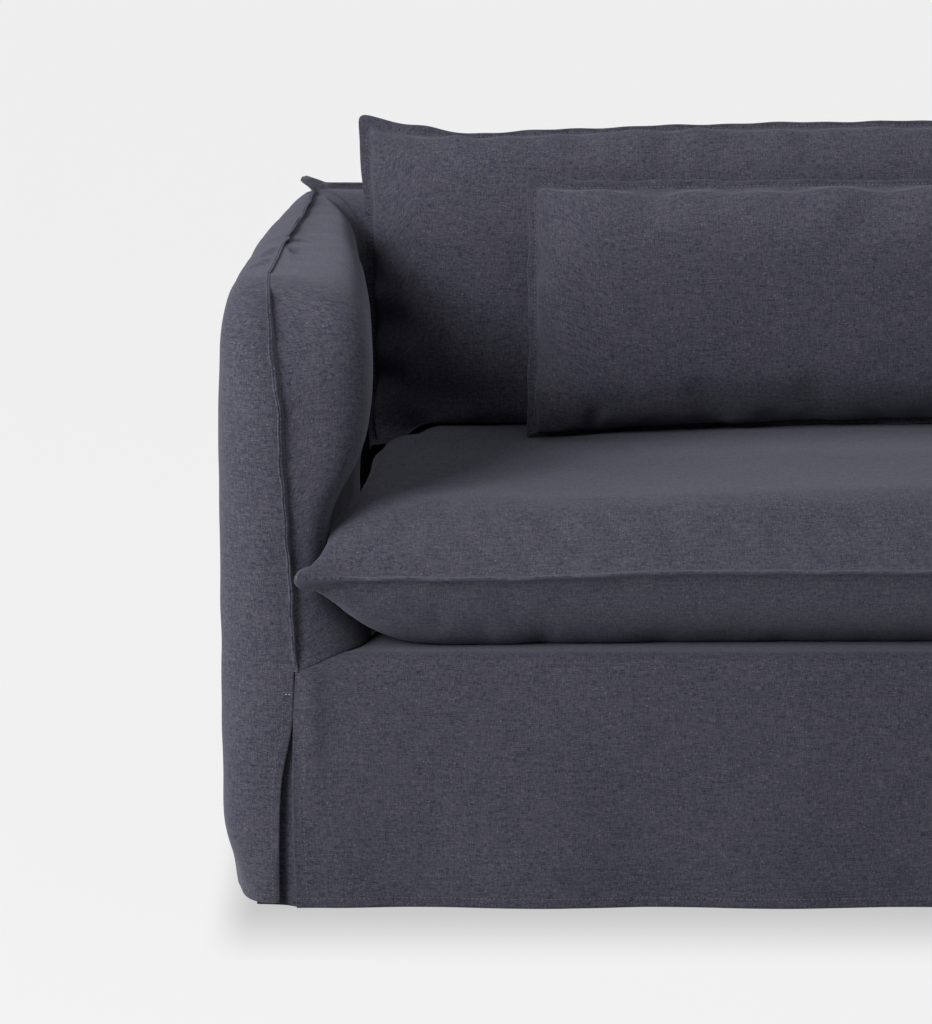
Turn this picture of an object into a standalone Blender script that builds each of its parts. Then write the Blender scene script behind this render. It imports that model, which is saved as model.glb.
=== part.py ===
"""Fitted slipcover for a two-seat sofa, with its seat, back and lumbar cushions.

The cover is a hollow skin of cut panels, as a maker would sew it. Two bands of cloth meet in one flanged
seam that runs up each arm's nose, back along the arm and across the sofa's back. The outer band falls from
that seam to the floor, and the inner band falls from it to the seat deck. Metres, +Z up, with the floor at
z = 0, the front at -Y and the sofa's middle at x = 0.
"""

import math

import bmesh
import bpy
import numpy as np

# Driving sizes of the cover
WIDTH = 1.850
FRONT_Y = -0.440
BACK_Y = 0.460
SEAM_Z = 0.748
DECK_Z = 0.310
CLOTH = 0.002
GAP = 0.0003
FOOT_GAP = 0.0009
FLANGE = 0.009
EAR_RISE = 0.009
EAR_PULL = 0.013

# Arms and back, as distances in from the cover's outer face and behind its front
ROLL_Z = 0.600
OUTER_NOSE_DEPTH = 0.075
INNER_NOSE_DEPTH = 0.110
INNER_FACE = 0.179
INNER_TAPER = 0.026
INNER_TAPER_START = 0.150
INNER_TAPER_LENGTH = 0.500
BACK_SEAM_IN = 0.055
BACK_FOOT = 0.702
BACK_SLOPE = 0.072

# The dent that the seat cushion presses into an arm: its depth, and what is left of it further back
DENT = 0.047
DENT_AT_BACK = 0.18
DENT_START = 0.090
DENT_LENGTH = 0.280

# How square a rounded corner is, where 2 is a circle: over the noses, and station by station over the roll
NOSE_SQUARE = 2.4
OUTER_SQUARE = ((0, 2.2), (6, 3.5), (8, 2.6), (10, 1.85), (13, 1.45), (18, 1.5), (20, 2.4))
INNER_SQUARE = ((0, 2.2), (6, 5.0), (11, 5.0), (13, 2.6))

# How much wider the cut between two panels of a band is over the roll, where their faces tilt together
ROLL_CUT = 3.5

# Skirt, slit and hem
EDGE_RADIUS = 0.020
SHELF_DEPTH = 0.130
UNDERLAY_TOP = 0.262
HEM_LIFT = 0.006
HEM_TUCK_NOSE = 0.022
HEM_TUCK_SIDE = 0.010
HEM_TUCK_HEIGHT = 0.090
SKIRT_WAVE = 0.004
WAVE_PITCH = 0.300

# Height, and how far in from the outer face the nose's seam lies; below the slit's top it is the flap's edge
NOSE_SEAM = (
    (0.000, 0.070),
    (0.120, 0.070),
    (0.170, 0.075),
    (0.232, 0.087),
    (0.2909, 0.091),
    (0.380, 0.086),
    (0.460, 0.083),
    (0.600, 0.078),
    (0.700, 0.068),
    (0.748, 0.059),
)
# Height, and how far in the front skirt's own edge lies
SKIRT_EDGE = ((0.000, 0.090), (0.100, 0.086), (0.232, 0.0873), (0.300, 0.0913))
# Depth behind the front, and how far in the seam on top of an arm lies
ARM_TOP_SEAM = ((0.110, 0.059), (0.350, 0.066), (0.600, 0.075), (0.820, 0.086))
# Height, and how much of the dent that the seat cushion presses into an arm shows there
DENT_SHARE = ((0.310, 0.0), (0.340, 0.30), (0.380, 0.85), (0.430, 1.0), (0.460, 0.95), (0.490, 0.35), (0.530, 0.0))
# How far in, and how far behind the front, the strip behind a slit lies
UNDERLAY = ((0.042, 0.0165), (0.060, 0.0150), (0.078, 0.0110), (0.092, 0.0035), (0.115, 0.0023), (0.150, 0.0023))

# Rows of the bands: heights of the straight rows, then angles over the roll
LOW_ROWS = (0.0, 0.030, 0.080, 0.150, 0.232, 0.2909)
OUTER_ROWS = (0.380, 0.460, 0.530)
INNER_ROWS = (0.340, 0.380, 0.430, 0.460, 0.490, 0.530)
ROLL_ANGLES = (0.0, 18.0, 36.0, 52.0, 66.0, 78.0, 90.0)

# Stations round half of the cover: steps over the nose, depths along the arm, steps round the corner, back
NOSE_STEPS = 6
SIDE_OUTER = (0.190, 0.320, 0.450, 0.580, 0.700, 0.800, 0.860)
SIDE_INNER = (0.190, 0.290, 0.390, 0.490, 0.580, 0.640, 0.680)
SIDE_SEAM = (0.230, 0.340, 0.450, 0.560, 0.660, 0.750, 0.810)
NOSE_SEAM_DEPTHS = (0.110, 0.175)
CORNER_STEPS = 4
BACK_SHARES = (0.06, 0.17, 0.30, 0.45, 0.64, 0.82, 1.0)
VALLEY_STATION = NOSE_STEPS + len(SIDE_SEAM) + 2
REAR_STATION = NOSE_STEPS + len(SIDE_SEAM) + CORNER_STEPS + 1
LAST_STATION = 2 * (NOSE_STEPS + len(SIDE_SEAM) + CORNER_STEPS + len(BACK_SHARES))

# Cushions: the seat's seam and crown, then each standing cushion's half width, height and thickness
CUSHION_FLANGE = 0.009
CUSHION_EDGE = 0.004
CUSHION_LEAN = math.radians(5.0)
FOOT_FLANGE = 0.002
SEAT_TOP = 0.485
SEAT_SEAM_Z = 0.410
SEAT_SEAM_RISE = 0.008
SEAT_MIDDLE = -0.112
SEAT_HALF_DEPTH = 0.356
SEAT_EAR = (0.022, 0.009)
PRESSED_TOP = 0.004
PRESSED_FROM = -0.030
PRESSED_LENGTH = 0.120
PRESSED_UNDER = 0.020
# How square a cushion's section is: the seat's ends, front, rear and underside, then a standing one's
SEAT_SQUARES = (16.0, 3.4, 18.0, 3.6)
STANDING_SQUARES = (10.0, 30.0, 2.8)
BACK_SIZE = (0.752, 0.344, 0.156)
BACK_FOOT_Y = 0.183
LUMBAR_SIZE = (0.545, 0.310, 0.122)
LUMBAR_FOOT_Y = 0.038
# How far a standing cushion's sides draw in halfway up, and how far they spread at the top
SIDE_IN = 0.003
BACK_SPREAD = 0.009
LUMBAR_SPREAD = 0.0
# Top seams of the standing cushions: rise to the middle, lift of the corners, and where the lift starts
BACK_TOP_EDGE = (0.024, 0.028, 0.83)
LUMBAR_TOP_EDGE = (0.001, 0.005, 0.90)
BACK_EARS = (0.012, 0.013)
LUMBAR_EARS = (0.010, 0.012)
# Depth behind the front, and the seat seam's distance from the sofa's middle
SEAT_HALF_WIDTH = (
    (-0.028, 0.803),
    (0.000, 0.797),
    (0.050, 0.783),
    (0.100, 0.774),
    (0.180, 0.762),
    (0.350, 0.748),
    (0.600, 0.738),
)

COVER_COLOUR = (0.058, 0.062, 0.092)
SHADE_COLOUR = (0.030, 0.032, 0.050)

HALF = WIDTH / 2
DEPTH = BACK_Y - FRONT_Y
OFF = CLOTH + GAP / 2


# ---- plain maths ----


def smooth(t):
    """Ease from 0 to 1: t * t * (3 - 2 t), held at the ends."""
    t = np.clip(t, 0.0, 1.0)
    return t * t * (3.0 - 2.0 * t)


def table(rows, at):
    """Read a two-column table, straight between its rows."""
    keys, values = zip(*rows)
    return np.interp(at, keys, values)


def rounded(angle, square):
    """Point on a rounded corner: cos and sin of the angle, each to the power 2 / square."""
    cosine = max(math.cos(math.radians(angle)), 0.0)
    sine = max(math.sin(math.radians(angle)), 0.0)
    return cosine ** (2.0 / square), sine ** (2.0 / square)


def outward(line):
    """Mitre vectors of a plan line that runs from the left nose round the back."""
    step = np.diff(line, axis=0)
    step /= np.linalg.norm(step, axis=1)[:, None]
    normal = np.column_stack([-step[:, 1], step[:, 0]])
    before = np.vstack([normal[:1], normal])
    after = np.vstack([normal, normal[-1:]])
    return (before + after) / (1.0 + (before * after).sum(axis=1))[:, None]


# ---- the cover's two bands, in plan: (distance in from the outer face, depth behind the front) ----


def with_corner_and_back(points, wall):
    """Turn the corner from an arm into the back wall at that depth, and run on to the sofa's middle."""
    inwards, depth = points[-1]
    reach = wall - depth
    for k in range(1, CORNER_STEPS + 1):
        turn = math.radians(90.0 * k / CORNER_STEPS)
        points.append((inwards + reach * (1 - math.cos(turn)), depth + reach * math.sin(turn)))
    start = inwards + reach
    points += [(start + (HALF - start) * share, wall) for share in BACK_SHARES]
    return np.array(points)


def seam_line():
    """The seam on top: back along the arm, round the rear corner, which is pulled out, and to the middle."""
    depths = [*np.linspace(*NOSE_SEAM_DEPTHS, NOSE_STEPS + 1), *SIDE_SEAM]
    points = [(float(table(ARM_TOP_SEAM, depth)), depth) for depth in depths]
    line = with_corner_and_back(points, DEPTH - BACK_SEAM_IN)
    station = np.arange(len(line))
    pull = EAR_PULL * np.exp(-((station - VALLEY_STATION) ** 2) / 3.0)
    return line + outward(line) * pull[:, None]


def outer_line(height):
    """The outer band: nose, side, rear corner and back."""
    start = table(NOSE_SEAM, height) - GAP / 2 - CLOTH * smooth((height - 0.280) / 0.010)
    points = []
    for k in range(NOSE_STEPS + 1):
        across, back = rounded(90.0 - 90.0 * k / NOSE_STEPS, NOSE_SQUARE)
        points.append((start * (1 - across), OUTER_NOSE_DEPTH * (1 - back)))
    points += [(0.0, depth) for depth in SIDE_OUTER]
    return with_corner_and_back(points, DEPTH)


def inner_face(depth):
    """How far in the inner arm face lies: the arm narrows towards the back."""
    return INNER_FACE - INNER_TAPER * smooth((depth - INNER_TAPER_START) / INNER_TAPER_LENGTH)


def dent(height, depth):
    """How far the seat cushion presses an arm's inner face in: less so towards the back."""
    share = table(DENT_SHARE, height) * (height < ROLL_Z)
    return DENT * share * (1.0 - (1.0 - DENT_AT_BACK) * smooth((depth - DENT_START) / DENT_LENGTH))


def inner_line(height):
    """The inner band: nose, inner arm face, valley and inside back, which leans back as it rises."""
    start = table(NOSE_SEAM, height) + OFF
    points = []
    for k in range(NOSE_STEPS + 1):
        across, back = rounded(90.0 - 90.0 * k / NOSE_STEPS, NOSE_SQUARE)
        face = INNER_FACE - dent(height, 0.0)
        points.append((start + (face - start) * across, INNER_NOSE_DEPTH * (1 - back)))
    points += [(float(inner_face(depth) - dent(height, depth)), depth) for depth in SIDE_INNER]
    return with_corner_and_back(points, BACK_FOOT + BACK_SLOPE * (min(height, ROLL_Z) - DECK_Z))


def both_sides(line):
    """A left half in part coordinates, followed by its mirror image."""
    left = line + np.array([-HALF, FRONT_Y])
    return np.vstack([left, left[-2::-1] * np.array([-1.0, 1.0])])


def stations():
    """Each station's count from the nearer nose."""
    index = np.arange(LAST_STATION + 1)
    return np.minimum(index, LAST_STATION - index)


def deck_edge_height(depth):
    """Height of the front skirt's rolled top edge: z = top - r + sqrt(r^2 - (r - depth)^2)."""
    share = min(max(depth / EDGE_RADIUS, 0.0), 1.0)
    return DECK_Z - EDGE_RADIUS + EDGE_RADIUS * math.sqrt(1.0 - (1.0 - share) ** 2)


def outer_row(height):
    """A straight row of the outer band: the hem is tucked in, more so at the nose, and waves at the back."""
    flat = both_sides(outer_line(height))
    station = stations()
    near_nose = 1.0 - smooth((station - 4) / 5.0)
    tuck = HEM_TUCK_SIDE + (HEM_TUCK_NOSE - HEM_TUCK_SIDE) * near_nose
    tuck = tuck * (1.0 - smooth(height / HEM_TUCK_HEIGHT))
    wave = SKIRT_WAVE * np.sin(1.7 * station) * smooth((station - 6) / 3.0) * (1.0 - smooth(height / DECK_Z))
    lift = HEM_LIFT * (1.0 - smooth((station - 5) / 4.0)) * (1.0 - smooth(height / 0.050))
    out = outward(flat)
    on_nose = station < NOSE_STEPS
    sideways = np.sign(flat[:, 0]) * np.sin(station / NOSE_STEPS * math.pi / 2)
    inwards = np.where(on_nose[:, None], np.column_stack([sideways, np.zeros(len(flat))]), out)
    flat = flat + out * wave[:, None] - inwards * tuck[:, None]
    return np.column_stack([flat, height + lift])


def inner_foot():
    """The inner band's lowest row, which follows the skirt's rolled edge and then the deck."""
    depths = both_sides(inner_line(DECK_Z))[:, 1] - FRONT_Y
    heights = [deck_edge_height(depth) + FOOT_GAP for depth in depths]
    flat = [both_sides(inner_line(z))[i] for i, z in enumerate(heights)]
    return np.column_stack([flat, heights])


def roll_rows(plan, seam, square):
    """Rows over the roll, from full size at its foot to the seam line at its top."""
    rows = []
    for angle in ROLL_ANGLES:
        shares = np.array([rounded(angle, s) for s in square])
        heights = ROLL_Z + (SEAM_Z - ROLL_Z) * shares[:, 1]
        full = np.array([both_sides(plan(z))[i] for i, z in enumerate(heights)])
        rows.append(np.column_stack([seam + (full - seam) * shares[:, :1], heights]))
    return rows


def band(outer):
    """A band of cloth as rows by stations of visible points."""
    seam = both_sides(seam_line())
    seam = seam + outward(seam) * (OFF if outer else -OFF)
    if outer:
        rows = [outer_row(z) for z in (*LOW_ROWS, *OUTER_ROWS)]
        return np.array(rows + roll_rows(outer_line, seam, table(OUTER_SQUARE, stations())))
    rows = [np.column_stack([both_sides(inner_line(z)), np.full(LAST_STATION + 1, z)]) for z in INNER_ROWS]
    return np.array([inner_foot(), *rows, *roll_rows(inner_line, seam, table(INNER_SQUARE, stations()))])


def flange_on_top(seam_row):
    """Outer edge of the flange above the last row, higher at the rear ears."""
    ear = np.exp(-((stations() - VALLEY_STATION) ** 2) / 2.0)
    return seam_row + np.column_stack([np.zeros((len(ear), 2)), FLANGE + EAR_RISE * ear])


def flange_on_nose(rail):
    """Outer edge of the flange in front of a nose's seam, square to the seam as seen from the side."""
    step = np.gradient(rail[:, 1:], axis=0)
    step /= np.linalg.norm(step, axis=1)[:, None]
    return rail + FLANGE * np.column_stack([np.zeros(len(rail)), -step[:, 1], step[:, 0]])


# ---- meshes ----


def strip(low, high):
    """Quads between two lines of point numbers."""
    return np.stack([low[:-1], low[1:], high[1:], high[:-1]], axis=-1)


def grid_quads(numbers):
    """Quads of a grid of point numbers."""
    return np.vstack([strip(low, high) for low, high in zip(numbers[:-1], numbers[1:])])


def cloth_material(name, colour):
    """A matt woven cloth in one colour."""
    material = bpy.data.materials.new(name)
    material.use_nodes = True
    shader = material.node_tree.nodes["Principled BSDF"]
    shader.inputs["Base Color"].default_value = (*colour, 1.0)
    shader.inputs["Roughness"].default_value = 0.85
    shader.inputs["Metallic"].default_value = 0.0
    return material


def make_object(name, points, quads, colour, collection):
    """A named object with its own cloth material."""
    mesh = bpy.data.meshes.new(name)
    mesh.from_pydata(np.asarray(points).tolist(), [], np.asarray(quads).tolist())
    mesh.shade_smooth()
    mesh.set_sharp_from_angle(angle=math.radians(50.0))
    mesh.materials.append(cloth_material(name + "_cloth", colour))
    obj = bpy.data.objects.new(name, mesh)
    collection.objects.link(obj)
    return obj


def sheet(name, points, quads, colour, collection):
    """A sheet of cloth: a surface whose thickness lies behind its visible face."""
    obj = make_object(name, points, quads, colour, collection)
    solid = obj.modifiers.new("thickness", "SOLIDIFY")
    solid.thickness = CLOTH
    solid.offset = -1.0
    solid.solidify_mode = "NON_MANIFOLD"
    solid.nonmanifold_thickness_mode = "CONSTRAINTS"
    return obj


def panel(name, outer, first, last, collection):
    """A panel cut from a band between two stations, with its part of the flange."""
    grid = band(outer)
    top = flange_on_top(grid[-1])
    points = np.concatenate([grid, top[None]])[:, first : last + 1]
    inward = {0: 1, -1: -2}
    for end, station in ((0, first), (-1, last)):
        if 0 < station < LAST_STATION:
            step = points[:, inward[end]] - points[:, end]
            step *= (GAP / 2 / np.linalg.norm(step, axis=1))[:, None]
            step[-len(ROLL_ANGLES) :] *= ROLL_CUT
            points[:, end] += step
    rows, columns = points.shape[:2]
    numbers = np.arange(rows * columns).reshape(rows, columns)
    quads = [grid_quads(numbers)]
    vertices = [points.reshape(-1, 3)]
    start = len(LOW_ROWS) - 1 if outer else 0
    for end, station in ((0, first), (-1, last)):
        if station in (0, LAST_STATION):
            edge = flange_on_nose(grid[:, station])[start:-1]
            rail = numbers[start:-1, end]
            edge_numbers = rows * columns + np.arange(len(edge))
            edge_numbers = np.append(edge_numbers, numbers[-1, end])
            side = strip(edge_numbers, rail) if end == 0 else strip(rail, edge_numbers)
            quads.append(side[:, ::-1])
            vertices.append(edge)
    quads = np.vstack(quads)
    if outer:
        quads = quads[:, ::-1]
    return sheet(name, np.vstack(vertices), quads, COVER_COLOUR, collection)


def ripple(inwards, height):
    """Soft upright waves in the front skirt, deepest at the hem."""
    share = smooth((inwards - 0.11) / 0.05) * (1.0 - smooth(height / WAVE_PITCH))
    return SKIRT_WAVE * np.sin(21.0 * inwards) * share


def skirt_point(length):
    """Depth and height at a length up the skirt: up the front, round the edge, then back over the shelf."""
    straight = DECK_Z - EDGE_RADIUS
    turn = min(max((length - straight) / EDGE_RADIUS, 0.0), math.pi / 2)
    past = max(length - straight - EDGE_RADIUS * math.pi / 2, 0.0)
    depth = EDGE_RADIUS * (1 - math.cos(turn)) + past
    return depth, min(length, straight) + EDGE_RADIUS * math.sin(turn)


def skirt_length(depth):
    """Length up the skirt at which it has gone back that far."""
    turn = math.acos(1.0 - min(max(depth / EDGE_RADIUS, 0.0), 1.0))
    return DECK_Z - EDGE_RADIUS + EDGE_RADIUS * turn + max(depth - EDGE_RADIUS, 0.0)


def front_skirt(collection):
    """The front panel: from the hem up over the rolled edge, ending at the nose or under the cushion."""
    nose = inner_line(DECK_Z)[: NOSE_STEPS + 1]
    columns = [(inwards, depth - 2 * GAP) for inwards, depth in nose]
    columns += [(inwards, SHELF_DEPTH) for inwards in (0.200, 0.260, 0.340, 0.460, 0.600, 0.760, HALF)]
    straight = (0.0, 0.030, 0.090, 0.160, 0.232, 0.280)
    half = []
    for inwards, end in columns:
        top = skirt_length(end) - straight[-1]
        lengths = [*straight, *(straight[-1] + top * share for share in (0.12, 0.3, 0.6, 1.0))]
        share = 1.0 - smooth((inwards - 0.090) / 0.060)
        for length in lengths:
            depth, height = skirt_point(length)
            edge = table(SKIRT_EDGE, height) + GAP / 2 - columns[0][0]
            across = inwards + edge * share
            half.append((across - HALF, FRONT_Y + depth - ripple(inwards, height), height))
    half = np.array(half).reshape(len(columns), -1, 3).transpose(1, 0, 2)
    grid = np.concatenate([half, half[:, -2::-1] * np.array([-1.0, 1.0, 1.0])], axis=1)
    numbers = np.arange(grid.shape[0] * grid.shape[1]).reshape(grid.shape[:2])
    return sheet("front_skirt", grid.reshape(-1, 3), grid_quads(numbers), COVER_COLOUR, collection)


def seat_deck(collection):
    """The flat cloth under the seat cushion, from the skirt's end to the inside back."""
    line = inner_line(DECK_Z)[NOSE_STEPS + 1 : -len(BACK_SHARES)]
    edge = np.vstack([(float(inner_face(SHELF_DEPTH)), SHELF_DEPTH + GAP), line + np.array([GAP, -GAP])])
    edge[:, 0] += np.append(GAP, np.zeros(len(line)))
    half = edge + np.array([-HALF, FRONT_Y])
    shares = np.linspace(1.0, -1.0, 5)
    points = [(x * share, y, DECK_Z) for x, y in half for share in shares]
    numbers = np.arange(len(points)).reshape(len(half), len(shares))
    return sheet("seat_deck", points, grid_quads(numbers), COVER_COLOUR, collection)


def pleat_underlay(name, side, collection):
    """The strip behind a front slit: flat against the skirt's back, and set back behind the flap."""
    heights = np.linspace(0.0, UNDERLAY_TOP, 6)
    points = [
        (side * (HALF - inwards), FRONT_Y + depth - ripple(inwards, height), height)
        for height in heights
        for inwards, depth in UNDERLAY
    ]
    quads = grid_quads(np.arange(len(points)).reshape(len(heights), len(UNDERLAY)))
    if side > 0:
        quads = quads[:, ::-1]
    return sheet(name, points, quads, SHADE_COLOUR, collection)


# ---- cushions ----


def spaced(count, bias):
    """Stations from -1 to 1, closer together near the ends: a blend of even steps and sine steps."""
    even = np.linspace(-1.0, 1.0, count)
    return even * (1.0 - bias) + np.sin(even * math.pi / 2) * bias


def fullness(u, v, square_u, square_v):
    """How full a cushion is: sqrt((1 - |u|^a) * (1 - |v|^b)), 1 in the middle and 0 at the seam."""
    return np.sqrt((1.0 - np.abs(u) ** square_u) * (1.0 - np.abs(v) ** square_v))


def flange_reach(u, v, ears):
    """Flange vectors in the seam's plane: straight out along the sides, and (x, y) given for the corners."""
    at_side = (np.abs(u) > 0.999) * np.sign(u)
    at_end = (np.abs(v) > 0.999) * np.sign(v)
    near_ear, far_ear = ears
    corner = np.abs(at_side * at_end)
    ear_x = np.where(v < 0, near_ear[0], far_ear[0])
    ear_y = np.where(v < 0, near_ear[1], far_ear[1])
    across = at_side * (CUSHION_FLANGE + (ear_x - CUSHION_FLANGE) * corner)
    along = at_end * (CUSHION_FLANGE + (ear_y - CUSHION_FLANGE) * corner)
    return np.dstack([across, along])


def cushion(name, seam, out, rise, drop, place, collection):
    """A filled cushion: two crowned faces that meet at a flange, as one closed solid.

    seam holds the seam surface's (across, along, height) at each grid point, out the flange's direction
    there, and rise and drop the two faces' distances from that surface. place puts the points in the part.
    """
    half_edge = CUSHION_EDGE / 2
    total = rise.size
    flat, level = seam[:, :, :2].reshape(-1, 2), seam[:, :, 2].reshape(-1)
    numbers = np.arange(total).reshape(rise.shape)
    loop = np.concatenate([numbers[0], numbers[1:, -1], numbers[-1, -2::-1], numbers[-2:0:-1, 0]])
    reach = flat[loop] + out.reshape(-1, 2)[loop]
    points = [
        np.column_stack([flat, level + half_edge + rise.reshape(-1)]),
        np.column_stack([flat, level - half_edge - drop.reshape(-1)]),
        np.column_stack([reach, level[loop] + half_edge]),
        np.column_stack([reach, level[loop] - half_edge]),
    ]
    ring = np.append(np.arange(len(loop)), 0)
    upper = 2 * total + ring
    lower = upper + len(loop)
    quads = [grid_quads(numbers), grid_quads(numbers + total)[:, ::-1]]
    quads += [strip(upper, loop[ring]), strip(lower, upper), strip(total + loop[ring], lower)]
    obj = make_object(name, place(np.vstack(points)), np.vstack(quads), COVER_COLOUR, collection)
    edit = bmesh.new()
    edit.from_mesh(obj.data)
    bmesh.ops.recalc_face_normals(edit, faces=edit.faces)
    edit.to_mesh(obj.data)
    edit.free()
    return obj


def seat_cushion(collection):
    """The bench seat: it fills the space between the arms, and its front corners reach round the noses."""
    v, u = np.meshgrid(spaced(15, 0.75), spaced(21, 0.72), indexing="ij")
    y = SEAT_MIDDLE + SEAT_HALF_DEPTH * v
    end_square, front_square, rear_square, under_square = SEAT_SQUARES
    x = u * table(SEAT_HALF_WIDTH, y - FRONT_Y)
    level = SEAT_SEAM_Z + SEAT_SEAM_RISE * smooth((0.75 - np.abs(u)) / 0.30) * (v < 0)
    out = flange_reach(u, v, (SEAT_EAR, (CUSHION_FLANGE, CUSHION_FLANGE)))
    over = np.where(v < 0, front_square, rear_square)
    rise = (SEAT_TOP + PRESSED_TOP - level) * fullness(u, v, end_square, over)
    drop = (level - DECK_Z + PRESSED_UNDER) * fullness(u, v, end_square, under_square)

    def place(points):
        highest = SEAT_TOP + PRESSED_TOP * smooth((PRESSED_FROM - points[:, 1]) / PRESSED_LENGTH)
        height = np.clip(points[:, 2], DECK_Z + GAP, highest)
        return np.column_stack([points[:, :2], height])

    return cushion("seat_cushion", np.dstack([x, y, level]), out, rise, drop, place, collection)


def standing_cushion(name, size, foot_y, spread, top, ears, collection):
    """A cushion that stands on the seat and leans back, with its foot spread flat under its weight."""
    half_width, height, thick = size
    rise, corner_up, corner_from = top
    v, u = np.meshgrid(spaced(12, 0.90), spaced(19, 0.65), indexing="ij")
    upper = (v + 1.0) / 2.0
    side_in = SIDE_IN * (1.0 - v**2) - spread * upper**3
    corner = np.clip((np.abs(u) - corner_from) / (1.0 - corner_from), 0.0, 1.0)
    along = height * upper + upper**3 * (rise * (1.0 - u**2) + corner_up * corner)
    seam = np.dstack([u * (half_width - side_in), along, np.zeros_like(u)])
    out = flange_reach(u, v, ((CUSHION_FLANGE, CUSHION_FLANGE), ears))
    out[0] *= (1.0, FOOT_FLANGE / CUSHION_FLANGE)
    side_square, foot_square, top_square = STANDING_SQUARES
    full = thick / 2 * fullness(u, v, side_square, np.where(v < 0, foot_square, top_square))
    lean_sine, lean_cosine = math.sin(CUSHION_LEAN), math.cos(CUSHION_LEAN)

    def place(points):
        across, up, front = points.T
        y = foot_y + up * lean_sine - front * lean_cosine
        z = SEAT_TOP + FOOT_FLANGE + GAP + up * lean_cosine + front * lean_sine
        return np.column_stack([across, y, np.maximum(z, SEAT_TOP + GAP)])

    return cushion(name, seam, out, full, full, place, collection)


def main():
    """Clear the scene and build the cover and its cushions."""
    for old in list(bpy.data.objects):
        bpy.data.objects.remove(old, do_unlink=True)
    collection = bpy.data.collections.new("sofa_slipcover")
    bpy.context.scene.collection.children.link(collection)
    far_valley = LAST_STATION - VALLEY_STATION
    far_rear = LAST_STATION - REAR_STATION
    panel("outside_arm_left", True, 0, REAR_STATION, collection)
    panel("outside_arm_right", True, far_rear, LAST_STATION, collection)
    panel("outside_back", True, REAR_STATION, far_rear, collection)
    panel("inside_arm_left", False, 0, VALLEY_STATION, collection)
    panel("inside_arm_right", False, far_valley, LAST_STATION, collection)
    panel("inside_back", False, VALLEY_STATION, far_valley, collection)
    front_skirt(collection)
    seat_deck(collection)
    pleat_underlay("pleat_underlay_left", -1.0, collection)
    pleat_underlay("pleat_underlay_right", 1.0, collection)
    seat_cushion(collection)
    back = (BACK_SIZE, BACK_FOOT_Y, BACK_SPREAD, BACK_TOP_EDGE, BACK_EARS)
    standing_cushion("back_cushion", *back, collection)
    lumbar = (LUMBAR_SIZE, LUMBAR_FOOT_Y, LUMBAR_SPREAD, LUMBAR_TOP_EDGE, LUMBAR_EARS)
    standing_cushion("lumbar_cushion", *lumbar, collection)


main()
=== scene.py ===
# %% [markdown]
# # A fitted linen slipcover for a two-seat sofa
#
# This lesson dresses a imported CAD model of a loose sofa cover. The cover is two long bands of cloth that meet
# in one flanged seam: an outer band that falls to the floor and an inner band that falls to the seat deck.
# Three flanged cushions go with it. The CAD gives the sizes, and the cells below give the cloth.

import math

import bmesh
import bpy
import numpy as np
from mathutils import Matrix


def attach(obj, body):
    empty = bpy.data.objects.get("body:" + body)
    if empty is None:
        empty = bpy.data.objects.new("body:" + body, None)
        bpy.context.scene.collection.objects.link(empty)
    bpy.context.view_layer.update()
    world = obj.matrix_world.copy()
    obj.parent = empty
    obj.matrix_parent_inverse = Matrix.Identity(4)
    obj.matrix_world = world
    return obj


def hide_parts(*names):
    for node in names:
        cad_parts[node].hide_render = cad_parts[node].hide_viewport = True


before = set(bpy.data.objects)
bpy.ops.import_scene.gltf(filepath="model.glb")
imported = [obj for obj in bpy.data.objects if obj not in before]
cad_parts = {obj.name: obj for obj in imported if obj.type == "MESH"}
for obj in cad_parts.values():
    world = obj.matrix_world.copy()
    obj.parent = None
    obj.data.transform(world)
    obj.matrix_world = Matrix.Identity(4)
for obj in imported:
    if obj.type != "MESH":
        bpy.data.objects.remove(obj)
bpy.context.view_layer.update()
scene = bpy.context.scene

# %% [markdown]
# ## Camera and lights
# A big piece of furniture is best seen from far away through a long lens, so that upright lines stay upright.
# A wide lens close by would fit it in too, but would splay its sides. The light is soft and comes from square
# boxes at the left, the front and above, in a weak even room. One hard lamp would show the weave more, but
# its sharp shadows would hide the shape of the folds.

# %% Camera
LOOK_DOWN = 12.0447
camera_data = bpy.data.cameras.new("camera")
camera_data.lens = 153.608
camera = bpy.data.objects.new("camera", camera_data)
scene.collection.objects.link(camera)
camera.location = (-0.633, -5.44, 1.55)
camera.rotation_euler = (math.radians(90.0 - LOOK_DOWN), 0.0, 0.0)
scene.camera = camera
print("camera at", tuple(camera.location))


# %% Lights
def area_light(name, place, target, size, watts):
    """A square soft box at place that faces target."""
    data = bpy.data.lights.new(name, "AREA")
    data.shape = "SQUARE"
    data.size = size
    data.energy = watts
    light = bpy.data.objects.new(name, data)
    scene.collection.objects.link(light)
    light.location = place
    way = [t - p for t, p in zip(target, place)]
    across = math.hypot(way[0], way[1])
    light.rotation_euler = (math.atan2(across, -way[2]), 0.0, math.atan2(way[1], way[0]) - math.pi / 2)


area_light("side_box", (-3.45, -1.90, 1.70), (-0.30, -0.20, 0.55), 2.2, 108.0)
area_light("front_box", (-2.92, -3.08, 2.60), (-0.30, -0.10, 0.50), 1.5, 153.0)
area_light("top_box", (-0.15, -0.25, 2.45), (-0.15, -0.20, 0.0), 1.4, 21.0)

world = bpy.data.worlds.new("room")
scene.world = world
world.use_nodes = True
world.node_tree.nodes["Background"].inputs["Color"].default_value = (1.0, 1.0, 1.0, 1.0)
world.node_tree.nodes["Background"].inputs["Strength"].default_value = 0.08
scene.view_settings.view_transform = "Standard"
print("lights:", [light.name for light in bpy.data.lights])

# %% [markdown]
# ## Finishes from nodes
# Every finish here is worked out by shader nodes. A painted texture would do too, but nodes stay sharp close
# by and need no file. A few small helpers keep that short: a number is set on a node's own socket, and
# another node's output is linked to it.


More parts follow.
